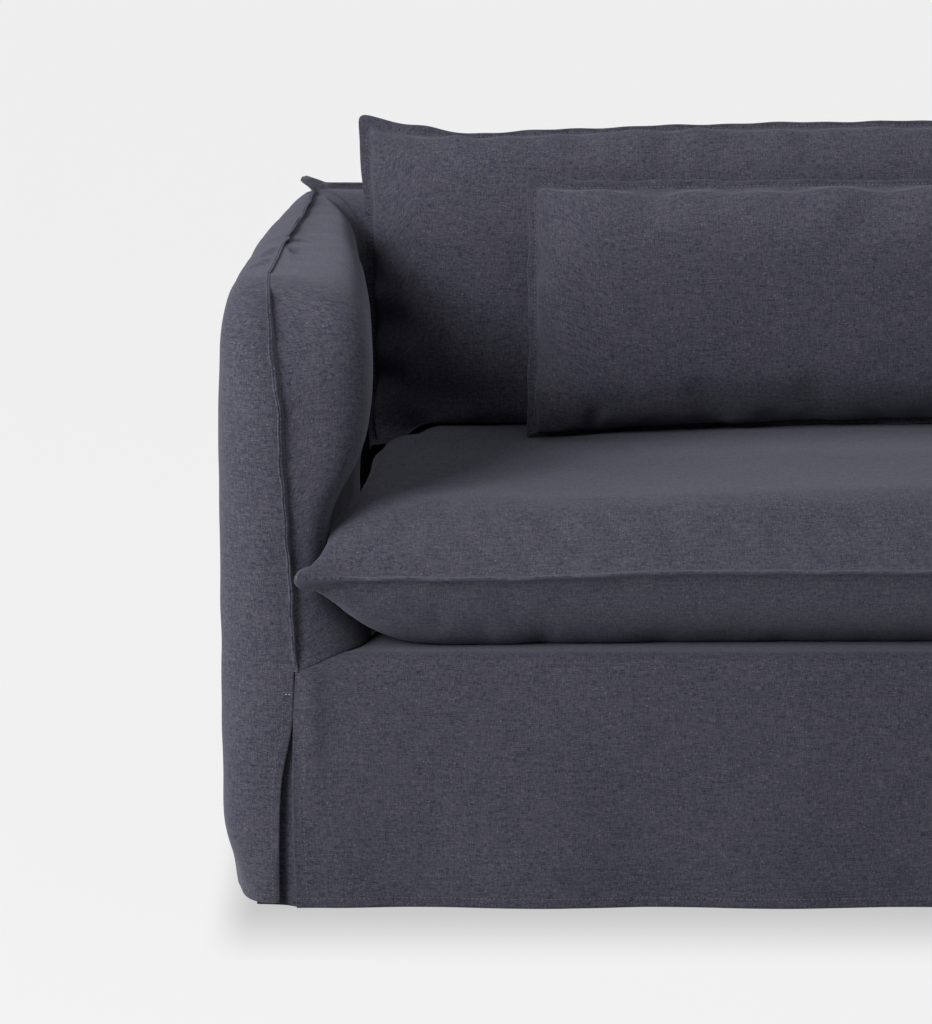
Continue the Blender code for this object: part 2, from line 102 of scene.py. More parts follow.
# %% Node helpers
def new_finish(name, roughness, specular):
    """A node material with that roughness and specular level: the material, its tree and its shader."""
    material = bpy.data.materials.new(name)
    material.use_nodes = True
    shader = material.node_tree.nodes["Principled BSDF"]
    shader.inputs["Roughness"].default_value = roughness
    shader.inputs["Specular IOR Level"].default_value = specular
    return material, material.node_tree, shader


def new_node(tree, kind, **inputs):
    """A node of that kind with constant values set on its inputs by name."""
    node = tree.nodes.new(kind)
    for name, value in inputs.items():
        node.inputs[name.replace("_", " ")].default_value = value
    return node


def feed(tree, socket, value):
    """Set a number or a colour on a socket, or link an output to it."""
    if isinstance(value, bpy.types.NodeSocket):
        tree.links.new(value, socket)
    elif value is not None:
        socket.default_value = value


def maths(tree, operation, first, second=None, third=None, clamp=False):
    """A Math node on up to three numbers or outputs."""
    node = tree.nodes.new("ShaderNodeMath")
    node.operation = operation
    node.use_clamp = clamp
    for socket, value in zip(node.inputs, (first, second, third)):
        feed(tree, socket, value)
    return node.outputs["Value"]


def mixed(tree, factor, first, second):
    """The first colour where the factor is 0 and the second where it is 1."""
    node = tree.nodes.new("ShaderNodeMix")
    node.data_type = "RGBA"
    for socket, value in (("Factor", factor), ("A", first), ("B", second)):
        feed(tree, node.inputs[socket], value)
    return node.outputs["Result"]


def eased(tree, value, start, end):
    """A smooth step from 0 at start to 1 at end."""
    node = new_node(tree, "ShaderNodeMapRange", From_Min=start, From_Max=end)
    node.interpolation_type = "SMOOTHSTEP"
    tree.links.new(value, node.inputs["Value"])
    return node.outputs["Result"]


# %% [markdown]
# ## Floor
# The floor is so pale that it runs into the backdrop. A curved white sheet would need lights of its own to
# look this even, so the floor glows by itself instead. It dims a little where the cover stands, so that the
# soft shade at the hem is seen on it.

# %% Floor
REACH = 60.0
GLOW = 0.855
SHADE = 0.30
floor_mesh = bpy.data.meshes.new("floor")
floor_corners = [(-REACH, -REACH, 0), (REACH, -REACH, 0), (REACH, REACH, 0), (-REACH, REACH, 0)]
floor_mesh.from_pydata(floor_corners, [], [(0, 1, 2, 3)])
floor = bpy.data.objects.new("floor", floor_mesh)
scene.collection.objects.link(floor)
floor_paint, tree, shader = new_finish("floor_paint", 0.9, 0.0)
shader.inputs["Base Color"].default_value = (0.025, 0.025, 0.025, 1.0)
shader.inputs["Emission Color"].default_value = (1.0, 1.0, 1.0, 1.0)
split = new_node(tree, "ShaderNodeSeparateXYZ")
tree.links.new(new_node(tree, "ShaderNodeTexCoord").outputs["Object"], split.inputs["Vector"])
ahead = eased(tree, split.outputs["Y"], -0.680, -0.425)
behind = eased(tree, split.outputs["Y"], 0.520, 0.440)
beside = eased(tree, maths(tree, "ABSOLUTE", split.outputs["X"]), 0.945, 0.880)
shade = maths(tree, "MULTIPLY", maths(tree, "MULTIPLY", ahead, behind), beside)
feed(tree, shader.inputs["Emission Strength"], maths(tree, "MULTIPLY_ADD", shade, -SHADE, GLOW))
floor.data.materials.append(floor_paint)
print("floor glows at", GLOW, "and at", GLOW - SHADE, "under the cover")

# %% [markdown]
# ## Linen
# A plain weave in one colour still has two kinds of streak: every warp and weft yarn is a little darker or
# lighter than the next, and thick slubs run along it for a centimetre or two. Noise that is stretched along
# one axis gives both, so each yarn direction has its own stretched noise and they are laid over each other.
# The pattern reads the piece's own UV map in metres, so it follows the cloth round every fold.

# %% Colours and yarns of the linen
COVER_COLOURS = ((0.0125, 0.0140, 0.0290), (0.0625, 0.0592, 0.0725))
# The pleat colours are the cover's colours made darker: painted shade for the strip behind the slits.
PLEAT_SHADED_COLOURS = ((0.008, 0.010, 0.023), (0.056, 0.053, 0.065))
FLECK_COLOUR = (0.15, 0.13, 0.115, 1.0)
WEAVE = {
    # noise: (cells per metre across a yarn, along it, detail, runs upright, its share of the colour)
    "warp": (790.0, 150.0, 1.0, True, 1.05),
    "weft": (790.0, 130.0, 1.0, False, 1.2),
    "grain": (820.0, 820.0, 2.0, True, 0.9),
    "warp slub": (300.0, 36.0, 3.0, True, 0.65),
    "weft slub": (240.0, 30.0, 3.0, False, 0.8),
    "cloud": (9.0, 9.0, 4.0, True, 0.25),
}
print("noises in the weave:", list(WEAVE))


# %% Noise along a yarn, and flecks
def stretched_noise(tree, uv, across, along, detail, upright):
    """Noise that is fine across a yarn and long along it: cells per metre each way."""
    scale = (across, along, 1.0) if upright else (along, across, 1.0)
    mapping = new_node(tree, "ShaderNodeMapping", Scale=scale)
    noise = new_node(tree, "ShaderNodeTexNoise", Scale=1.0, Detail=detail, Roughness=0.75)
    noise.noise_dimensions = "2D"
    tree.links.new(uv, mapping.inputs["Vector"])
    tree.links.new(mapping.outputs["Vector"], noise.inputs["Vector"])
    return noise.outputs["Fac"]


def weighted(tree, parts):
    """Add noises by weight about their middle: 0.5 + sum of weight * (noise - 0.5), held between 0 and 1."""
    total = 0.5 - 0.5 * sum(weight for _, weight in parts)
    for noise, weight in parts:
        total = maths(tree, "MULTIPLY_ADD", noise, weight, total)
    return maths(tree, "ADD", total, 0.0, clamp=True)


def flecks(tree, uv):
    """Small round flecks in one cell of twenty of a Voronoi pattern: 0.5 there and 0 elsewhere."""
    cells = new_node(tree, "ShaderNodeTexVoronoi", Scale=210.0, Randomness=1.0)
    cells.voronoi_dimensions = "2D"
    tree.links.new(uv, cells.inputs["Vector"])
    near = maths(tree, "LESS_THAN", cells.outputs["Distance"], 0.16)
    draw = maths(tree, "FRACT", maths(tree, "MULTIPLY", cells.outputs["Color"], 7.0))
    chosen = maths(tree, "GREATER_THAN", draw, 0.95)
    return maths(tree, "MULTIPLY", maths(tree, "MULTIPLY", near, chosen), 0.5)


# %% Linen
def linen(name, dark, light):
    """Linen whose yarns run from a dark to a light colour, with slubs, warm flecks and a raised weave."""
    material, tree, shader = new_finish(name, 0.92, 0.15)
    shader.inputs["Sheen Weight"].default_value = 0.12
    shader.inputs["Sheen Roughness"].default_value = 0.55
    shader.inputs["Sheen Tint"].default_value = (0.75, 0.78, 0.95, 1.0)
    uv = new_node(tree, "ShaderNodeUVMap")
    uv.uv_map = "cloth"
    uv = uv.outputs["UV"]
    noises = {part: stretched_noise(tree, uv, *row[:4]) for part, row in WEAVE.items()}
    share = weighted(tree, [(noises[part], row[4]) for part, row in WEAVE.items()])
    colour = mixed(tree, share, (*dark, 1.0), (*light, 1.0))
    colour = mixed(tree, flecks(tree, uv), colour, FLECK_COLOUR)
    tree.links.new(colour, shader.inputs["Base Color"])
    yarns = maths(tree, "ADD", noises["warp"], noises["weft"])
    slubs = maths(tree, "ADD", noises["warp slub"], noises["weft slub"])
    bumps = new_node(tree, "ShaderNodeBump", Strength=0.25, Distance=0.0005)
    tree.links.new(maths(tree, "MULTIPLY_ADD", slubs, 0.8, yarns), bumps.inputs["Height"])
    tree.links.new(bumps.outputs["Normal"], shader.inputs["Normal"])
    return material


cover_linen = linen("cover_linen", *COVER_COLOURS)
# The pleat linen is a darker copy of the cover linen, which paints the shade behind the slits.
pleat_shaded_linen = linen("pleat_shaded_linen", *PLEAT_SHADED_COLOURS)

# %% [markdown]
# ### Thread
# The seams are sewn with a matt thread a little paler than the linen, and the slits are closed with a thicker
# and paler one. A strand is under a millimetre thick, so its twist isn't modelled: it would only cost faces.
# One colour that changes a little along the run is enough.


# %% Thread
def plain_thread(name, colour):
    """Matt sewing thread in one colour, a quarter darker or lighter along its run."""
    material, tree, shader = new_finish(name, 0.7, 0.3)
    noise = new_node(tree, "ShaderNodeTexNoise", Scale=260.0, Detail=1.0)
    tree.links.new(new_node(tree, "ShaderNodeTexCoord").outputs["Object"], noise.inputs["Vector"])
    dark, light = ((*(share * c for c in colour), 1.0) for share in (0.75, 1.25))
    tree.links.new(mixed(tree, noise.outputs["Fac"], dark, light), shader.inputs["Base Color"])
    return material


seam_thread = plain_thread("seam_thread", (0.155, 0.150, 0.175))
tack_thread = plain_thread("tack_thread", (0.420, 0.410, 0.420))
print("finishes:", [m.name for m in (floor_paint, cover_linen, pleat_shaded_linen, seam_thread, tack_thread)])

# %% [markdown]
# ## The cut of the cover
# The cover is worked out as the CAD model is. Seen from above, each band of cloth is a line that runs round a
# nose, back along an arm, round a corner and across the back. The line is given at a few heights, and over
# the rounded top it shrinks to the line of the seam. Points along a line are called stations. A block could
# be sculpted instead, but lines in plan keep every panel at the size that it is sewn to.

# %% Sizes of the cover, in metres and degrees
HALF = 0.925
DEPTH = 0.900
FRONT_Y = -0.440
SEAM_Z = 0.748
DECK_Z = 0.310
CLOTH = 0.002
GAP = 0.0003
OFF = CLOTH + GAP / 2
FOOT_GAP = 0.0009
EAR_PULL = 0.008
ROLL_Z = 0.600
OUTER_NOSE_DEPTH = 0.075
INNER_NOSE_DEPTH = 0.110
INNER_FACE = 0.179
INNER_TAPER = 0.026
BACK_SEAM_IN = 0.055
BACK_FOOT = 0.702
BACK_SLOPE = 0.072
EDGE_RADIUS = 0.020
SHELF_DEPTH = 0.130
HEM_TUCK_NOSE = 0.022
HEM_TUCK_SIDE = 0.010
DENT = 0.047
DENT_AT_BACK = 0.18
DENT_START = 0.090
DENT_LENGTH = 0.280
print("cover:", 2 * HALF, "m wide,", DEPTH, "m deep, with its seam at", SEAM_Z, "m")

# %% Tables of the cut
# By height: distance inwards from the arm's side, or a share.
NOSE_SEAM = (
    (0.000, 0.070), (0.120, 0.070), (0.170, 0.075), (0.232, 0.087), (0.2909, 0.091),
    (0.380, 0.086), (0.460, 0.083), (0.600, 0.078), (0.700, 0.068), (0.748, 0.059),
)
SKIRT_EDGE = ((0.000, 0.090), (0.100, 0.086), (0.232, 0.0873), (0.300, 0.0913))
DENT_SHARE = (
    (0.310, 0.0), (0.340, 0.30), (0.380, 0.85), (0.430, 1.0), (0.460, 1.0),
    (0.490, 0.78), (0.530, 0.34), (0.570, 0.08), (0.600, 0.0),
)
# By depth behind the front: the arm's seam on top, as a distance inwards.
ARM_TOP_SEAM = (
    (0.110, 0.059), (0.300, 0.066), (0.400, 0.067), (0.490, 0.078),
    (0.600, 0.082), (0.700, 0.084), (0.820, 0.091),
)
# Squareness of the roll by station: 2 is a circle, more is boxier and less is more pointed.
NOSE_SQUARE = 2.4
OUTER_SQUARE = (
    (0, 2.2), (6, 3.5), (8, 2.6), (10, 2.2), (12, 1.6), (13, 1.45), (15, 1.5), (18, 1.6), (20, 2.4),
)
INNER_SQUARE = ((0, 2.2), (6, 5.0), (11, 5.0), (13, 2.6))
print("seam down the nose:", NOSE_SEAM[0][1], "m in at the foot and", NOSE_SEAM[-1][1], "m at the top")

# %% Rows and stations
# Heights of the rows, and depths of the stations behind the nose.
LOW_ROWS = (0.0, 0.030, 0.080, 0.150, 0.232, 0.2909)
OUTER_ROWS = (0.380, 0.460, 0.530)
INNER_ROWS = (0.340, 0.380, 0.430, 0.460, 0.490, 0.530)
ROLL_ANGLES = (0.0, 18.0, 36.0, 52.0, 66.0, 78.0, 90.0)
SIDE_OUTER = (0.190, 0.320, 0.450, 0.580, 0.700, 0.800, 0.860)
SIDE_INNER = (0.190, 0.290, 0.390, 0.490, 0.580, 0.640, 0.680)
SIDE_SEAM = (0.230, 0.340, 0.450, 0.560, 0.660, 0.750, 0.810)
BACK_SHARES = np.array([0.06, 0.17, 0.30, 0.45, 0.64, 0.82, 1.0])
NOSE_STEPS = 6
CORNER_STEPS = 4
VALLEY_STATION = 15
REAR_STATION = 18
LAST_STATION = 48
STATION = np.minimum(np.arange(LAST_STATION + 1), LAST_STATION - np.arange(LAST_STATION + 1))
MIRROR = np.array([-1.0, 1.0])
print("stations:", len(STATION), "with the seams of the panels at", VALLEY_STATION, "and", REAR_STATION)


# %% Plain maths
def smooth(t):
    """Ease from 0 to 1: t * t * (3 - 2 t), held at the ends."""
    t = np.clip(t, 0.0, 1.0)
    return t * t * (3.0 - 2.0 * t)


def within(value, start, over, end, out):
    """Ease in from start over a length, and ease out again from end over another."""
    return smooth((value - start) / over) * (1.0 - smooth((value - end) / out))


def table(rows, at):
    """Read a two-column table, straight between its rows."""
    keys, values = zip(*rows)
    return np.interp(at, keys, values)


def rounded(angle, square):
    """Point on a rounded corner: cos and sin of the angle in degrees, each to the power 2 / square."""
    turn = np.radians(angle)
    power = 2.0 / np.asarray(square)
    return np.clip(np.cos(turn), 0.0, 1.0) ** power, np.clip(np.sin(turn), 0.0, 1.0) ** power


def lengths(line):
    """Length along a line of points, from 0 at its first."""
    return np.append(0.0, np.cumsum(np.linalg.norm(np.diff(line, axis=0), axis=1)))


def outward(line):
    """Mitre vectors of a plan line: both neighbours' normals added, over 1 plus their dot product."""
    step = np.diff(line, axis=0)
    step /= np.linalg.norm(step, axis=1)[:, None]
    normal = np.column_stack([-step[:, 1], step[:, 0]])
    before = np.vstack([normal[:1], normal])
    after = np.vstack([normal, normal[-1:]])
    return (before + after) / (1.0 + (before * after).sum(axis=1))[:, None]


# %% A corner and the back in plan
def corner_and_back(nose_and_side, wall):
    """Turn the corner from an arm into the back at that depth, run on to the middle, and mirror it all."""
    inwards, depth = nose_and_side[-1]
    bend = wall - depth
    turn = np.radians(90.0 * np.arange(1, CORNER_STEPS + 1) / CORNER_STEPS)
    corner = np.column_stack([inwards + bend * (1 - np.cos(turn)), depth + bend * np.sin(turn)])
    start = inwards + bend
    back = np.column_stack([start + (HALF - start) * BACK_SHARES, np.full(len(BACK_SHARES), wall)])
    return both_sides(np.vstack([nose_and_side, corner, back]))


def both_sides(line):
    """A left half in the frame's coordinates, followed by its mirror image."""
    left = line + np.array([-HALF, FRONT_Y])
    return np.vstack([left, left[-2::-1] * MIRROR])


def seam_line():
    """The seam on top: back along the arm, round the rear corner, which is pulled out, and to the middle."""
    depths = np.append(np.linspace(0.110, 0.175, NOSE_STEPS + 1), SIDE_SEAM)
    line = corner_and_back(np.column_stack([table(ARM_TOP_SEAM, depths), depths]), DEPTH - BACK_SEAM_IN)
    return line + outward(line) * (EAR_PULL * np.exp(-((STATION - VALLEY_STATION) ** 2) / 3.0))[:, None]


print("seam on top:", round(float(lengths(seam_line())[-1]), 3), "m long")


# %% Lines of the two bands in plan
def nose(start, face, depth, square):
    """A nose in plan, from the seam at its front round to the face beside it."""
    across, back = rounded(90.0 - 90.0 * np.arange(NOSE_STEPS + 1) / NOSE_STEPS, square)
    return np.column_stack([start + (face - start) * across, depth * (1 - back)])


def outer_line(height):
    """The outer band in plan: nose, side, rear corner and back."""
    start = table(NOSE_SEAM, height) - GAP / 2 - CLOTH * smooth((height - 0.280) / 0.010)
    side = np.column_stack([np.zeros(len(SIDE_OUTER)), SIDE_OUTER])
    return corner_and_back(np.vstack([nose(start, 0.0, OUTER_NOSE_DEPTH, NOSE_SQUARE), side]), DEPTH)


def dent(height, depth):
    """How far the seat cushion presses an arm's inner face in: less so towards the back."""
    share = table(DENT_SHARE, height) * (height < ROLL_Z)
    return DENT * share * (1.0 - (1.0 - DENT_AT_BACK) * smooth((depth - DENT_START) / DENT_LENGTH))


def inner_line(height):
    """The inner band in plan: nose, inner arm face, valley and inside back, which leans back as it rises."""
    depths = np.array(SIDE_INNER)
    face = INNER_FACE - INNER_TAPER * smooth((depths - 0.150) / 0.500) - dent(height, depths)
    square = NOSE_SQUARE + 1.5 * smooth((height - 0.330) / 0.120)
    front = nose(table(NOSE_SEAM, height) + OFF, INNER_FACE - dent(height, 0.0), INNER_NOSE_DEPTH, square)
    wall = BACK_FOOT + BACK_SLOPE * (min(height, ROLL_Z) - DECK_Z)
    return corner_and_back(np.vstack([front, np.column_stack([face, depths])]), wall)


# %% Lowest rows of the bands
def deck_edge_height(depth):
    """Height of the front skirt's rolled top edge: z = top - r + sqrt(r^2 - (r - depth)^2)."""
    share = np.clip(depth / EDGE_RADIUS, 0.0, 1.0)
    return DECK_Z - EDGE_RADIUS + EDGE_RADIUS * np.sqrt(1.0 - (1.0 - share) ** 2)


def outer_row(height):
    """A straight row of the outer band: the hem is tucked in, more so at the nose, and waves at the back."""
    flat = outer_line(height)
    near_nose = 1.0 - smooth((STATION - 4) / 5.0)
    tuck = (HEM_TUCK_SIDE + (HEM_TUCK_NOSE - HEM_TUCK_SIDE) * near_nose) * (1.0 - smooth(height / 0.090))
    wave = 0.004 * np.sin(1.7 * STATION) * smooth((STATION - 6) / 3.0) * (1.0 - smooth(height / DECK_Z))
    lift = 0.006 * (1.0 - smooth((STATION - 5) / 4.0)) * (1.0 - smooth(height / 0.050))
    out = outward(flat)
    sideways = np.sign(flat[:, 0]) * np.sin(STATION / NOSE_STEPS * math.pi / 2)
    on_nose = (STATION < NOSE_STEPS)[:, None]
    inwards = np.where(on_nose, np.column_stack([sideways, np.zeros(len(flat))]), out)
    return np.column_stack([flat + out * wave[:, None] - inwards * tuck[:, None], height + lift])


def inner_foot():
    """The inner band's lowest row, which follows the skirt's rolled edge and then the deck."""
    heights = deck_edge_height(inner_line(DECK_Z)[:, 1] - FRONT_Y) + FOOT_GAP
    return np.column_stack([[inner_line(z)[i] for i, z in enumerate(heights)], heights])


# %% Bands of cloth as coarse grids
def roll_rows(plan, seam, square):
    """Rows over the roll, from full size at its foot to the seam line at its top."""
    rows = []
    for angle in ROLL_ANGLES:
        across, up = rounded(angle, square)
        heights = ROLL_Z + (SEAM_Z - ROLL_Z) * up
        full = np.array([plan(z)[i] for i, z in enumerate(heights)])
        rows.append(np.column_stack([seam + (full - seam) * across[:, None], heights]))
    return rows


def band(outer):
    """A band of cloth as rows by stations of points on its visible face."""
    seam = seam_line()
    seam = seam + outward(seam) * (OFF if outer else -OFF)
    if outer:
        rows = [outer_row(z) for z in (*LOW_ROWS, *OUTER_ROWS)]
        return np.array(rows + roll_rows(outer_line, seam, table(OUTER_SQUARE, STATION)))
    rows = [np.column_stack([inner_line(z), np.full(LAST_STATION + 1, z)]) for z in INNER_ROWS]
    return np.array([inner_foot(), *rows, *roll_rows(inner_line, seam, table(INNER_SQUARE, STATION))])


outer_band = band(True)
inner_band = band(False)
print("coarse bands:", outer_band.shape, inner_band.shape)

# %% [markdown]
# ## From a coarse band to cloth
# The coarse grid has a point every few centimetres. A cubic curve through its rows and columns gives a grid
# that is fine enough for folds, and finest at the seams and hems, where cloth turns most. Folds are then
# added along each point's normal, and Solidify gives the cloth its thickness on the hidden side.


# %% Curves through a coarse grid
def through(knots, values, at):
    """Smooth curve through rows of values: cubic pieces between knots, with slopes from the neighbours."""
    slope = np.gradient(values, knots, axis=0)
    i = np.clip(np.searchsorted(knots, at, side="right") - 1, 0, len(knots) - 2)
    shape = (-1,) + (1,) * (values.ndim - 1)
    span = (knots[i + 1] - knots[i]).reshape(shape)
    t = ((at - knots[i]) / (knots[i + 1] - knots[i])).reshape(shape)
    start = (2 * t**3 - 3 * t**2 + 1) * values[i] + (t**3 - 2 * t**2 + t) * span * slope[i]
    return start + (3 * t**2 - 2 * t**3) * values[i + 1] + (t**3 - t**2) * span * slope[i + 1]


def run_length(grid, axis):
    """Length along a grid's rows or columns, averaged over the other way."""
    step = np.linalg.norm(np.diff(grid, axis=axis), axis=2)
    return np.append(0.0, np.cumsum(step.mean(axis=1 - axis)))


def graded(start, end, step):
    """Places from start to end about a step apart, and much closer near both ends."""
    near = np.array([0.0, 0.0015, 0.003, 0.005, 0.008, 0.012])
    count = max(int(round((end - start - 2 * near[-1]) / step)), 2)
    middle = np.linspace(start + near[-1], end - near[-1], count + 1)[1:-1]
    return np.concatenate([start + near, middle, end - near[::-1]])


# %% Normals, quads and cloth coordinates of a grid
def grid_normals(grid, sign):
    """Unit normals of a grid of points: across a row times up a column, or the other way for sign -1."""
    normal = np.cross(np.gradient(grid, axis=1), np.gradient(grid, axis=0)) * sign
    return normal / np.maximum(np.linalg.norm(normal, axis=2, keepdims=True), 1e-12)


def strip(low, high):
    """Quads between two lines of point numbers."""
    return np.stack([low[:-1], low[1:], high[1:], high[:-1]], axis=-1)


def numbered(shape):
    """Point numbers of a grid, row by row."""
    return np.arange(shape[0] * shape[1]).reshape(shape[:2])


def grid_quads(numbers):
    """Quads of a grid of point numbers, row by row."""
    return np.concatenate([strip(low, high) for low, high in zip(numbers[:-1], numbers[1:])])


def metre_map(grid):
    """Cloth coordinates in metres: lengths along rows and up columns, from the middle row and column."""
    across = np.linalg.norm(np.diff(grid, axis=1), axis=2)
    up = np.linalg.norm(np.diff(grid, axis=0), axis=2)
    u = np.concatenate([np.zeros((len(grid), 1)), np.cumsum(across, axis=1)], axis=1)
    v = np.concatenate([np.zeros((1, grid.shape[1])), np.cumsum(up, axis=0)])
    middle = grid.shape[1] // 2
    return np.dstack([u - u[:, middle : middle + 1], v])


# %% Softness and folds
FOLD_TAIL = 0.35


def waves(points, scale, seed, count=9):
    """Soft unevenness: the sum of sine waves about scale metres long, over the root of their number."""
    rng = np.random.default_rng(seed)
    way = rng.normal(size=(count, 3))
    way /= np.linalg.norm(way, axis=1)[:, None]
    length = scale * rng.uniform(0.7, 1.5, count)
    phase = rng.uniform(0.0, 2 * math.pi, count)
    return np.sin(points @ (way / length[:, None]).T * 2 * math.pi + phase).sum(axis=-1) / math.sqrt(count)


def crease(points, start, end, depth, width):
    """A pulled fold on a roll's top: seen from above, a groove along a line with a low ridge beside it."""
    start, end = np.array(start), np.array(end)
    length = np.linalg.norm(end - start)
    way = (end - start) / length
    plan = points[..., :2] - start
    t = np.clip(plan @ way / length, 0.0, 1.0)
    away = np.linalg.norm(plan - t[..., None] * way * length, axis=-1) / width
    fade = within(t, 0.0, 0.12, FOLD_TAIL, 1.0 - FOLD_TAIL) * smooth((points[..., 2] - 0.690) / 0.030)
    return -depth * fade * (np.exp(-(away**2)) - 0.45 * np.exp(-((away - 2.0) ** 2)))


def folded(grid, shift, folds):
    """A panel's unevenness with its pulled folds added."""
    for fold in folds:
        shift = shift + crease(grid, *fold)
    return shift


# %% Mesh makers
def make_mesh(name, points, quads, uv, material):
    """A mesh object at the origin from points and quads, with the cloth coordinates of each point."""
    mesh = bpy.data.meshes.new(name)
    mesh.from_pydata(np.asarray(points, float).tolist(), [], np.asarray(quads).tolist())
    layer = mesh.uv_layers.new(name="cloth")
    corner = np.empty(len(mesh.loops), np.int64)
    mesh.loops.foreach_get("vertex_index", corner)
    layer.data.foreach_set("uv", np.asarray(uv, np.float32)[corner].ravel())
    mesh.shade_smooth()
    mesh.materials.append(material)
    obj = bpy.data.objects.new(name, mesh)
    scene.collection.objects.link(obj)
    return obj


def thicken(obj):
    """Give a sheet its thickness behind the visible face."""
    solid = obj.modifiers.new("thickness", "SOLIDIFY")
    solid.thickness = CLOTH
    solid.offset = -1.0
    solid.solidify_mode = "NON_MANIFOLD"
    solid.nonmanifold_thickness_mode = "CONSTRAINTS"
    return obj


def ride_on_root(obj, slot, *nodes):
    """Attach a piece to the frame and hide the CAD nodes it stands for; the slot is not used."""
    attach(obj, "root")
    if nodes:
        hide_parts(*nodes)
    return obj


def sheet_piece(node, grid, slot="cover_cloth", material=cover_linen, turned=False):
    """The sheet of cloth that stands for a node, from one grid of points on its visible face."""
    quads = grid_quads(numbered(grid.shape))
    if turned:
        quads = quads[:, ::-1]
    obj = make_mesh(node + "_cloth", grid.reshape(-1, 3), quads, metre_map(grid).reshape(-1, 2), material)
    print(node, "grid:", grid.shape[:2])
    return ride_on_root(thicken(obj), slot, node)


# %% [markdown]
# ## Panels with a flanged seam
# A flanged seam is sewn a finger's width inside the raw edges and left standing, so two layers of cloth show
# as a thin fin. A separate strip could stand on the seam, but light would show at its foot, so the grid of
# each band runs on into its own layer. The fin is high at the rear corners, where it forms a small ear, and
# lies flat where the seam rounds the nose.

# %% Flange shapes
FLANGE_ROWS = np.array([0.2, 0.45, 0.72, 1.0])
NOSE_FIN = 0.0088
NOSE_FOOT = 0.2905


def top_flange(station, share):
    """The standing fin on the top seam: how far out and how far up it goes, at a share of its height."""
    s = np.minimum(station, LAST_STATION - station)
    ear = np.exp(-((s - VALLEY_STATION) ** 2) / np.where(s < VALLEY_STATION, 1.5, 0.16))
    raised = smooth((s - 7.7) / 0.5)
    behind = smooth((s - VALLEY_STATION) / 1.0)
    height = 0.0015 + (0.0026 + 0.004 * behind) * raised + 0.010 * ear
    knot = np.exp(-((s - 8.15) ** 2) / 0.10)
    sway = 0.0012 * np.sin(2.1 * station) + 0.0008 * np.sin(5.3 * station + 1.0)
    sway = sway + 0.003 * knot * np.sin(9.0 * s)
    lean = -0.0010 * raised * (1.0 - ear) + 0.026 * ear
    return (lean + sway * raised) * share**1.5, height * share


def nose_flange(height, share):
    """The fin on a nose's seam: how far forward and how far outward it goes, at a share of its width."""
    reach = NOSE_FIN * smooth((0.742 - height) / 0.020) * smooth((height - 0.288) / 0.040) + 0.0004
    lean = 0.0045 * smooth((height - 0.400) / 0.150) + 0.0008 * np.sin(height * 60.0)
    lean = lean + 0.0006 * np.sin(height * 143.0)
    return reach * share, lean * share * smooth((0.740 - height) / 0.060)


print("fin at a rear corner:", round(float(top_flange(VALLEY_STATION, 1.0)[1]) * 1000, 1), "mm high")


# %% The fin's rows on a panel
def top_fin(seam, station):
    """Rows of the fin on top of a panel, from its seam's points and their stations."""
    along = np.gradient(seam[:, :2], axis=0)
    along /= np.linalg.norm(along, axis=1)[:, None]
    away = np.column_stack([-along[:, 1], along[:, 0], np.zeros(len(seam))])
    out, up = top_flange(station[None, :], FLANGE_ROWS[:, None])
    return seam + away * out[..., None] + np.dstack([np.zeros_like(up), np.zeros_like(up), up])


def nose_fin(rail, side):
    """Lines of the fin down a nose, from its seam's points: side is -1 at the left end and 1 at the right."""
    slope = np.gradient(rail[:, 1:], axis=0)
    slope /= np.linalg.norm(slope, axis=1)[:, None]
    for share in FLANGE_ROWS:
        forward, outwards = nose_flange(rail[:, 2], share)
        edge = rail + np.column_stack([side * outwards, -slope[:, 1] * forward, slope[:, 0] * forward])
        yield edge, np.array([side * NOSE_FIN * share, 0.0])


# %% Panel maker
OUTER_CUT = (0.0004, 0.0022)
INNER_CUT = (-0.0010, 0.0008)
SEAM_CALM = 0.010
GROOVE_WIDTH = 0.0035
NOSE_CALM = 0.006
CUT_CALM = 0.030
ARM_STEP = 0.0050
BACK_STEP = 0.010


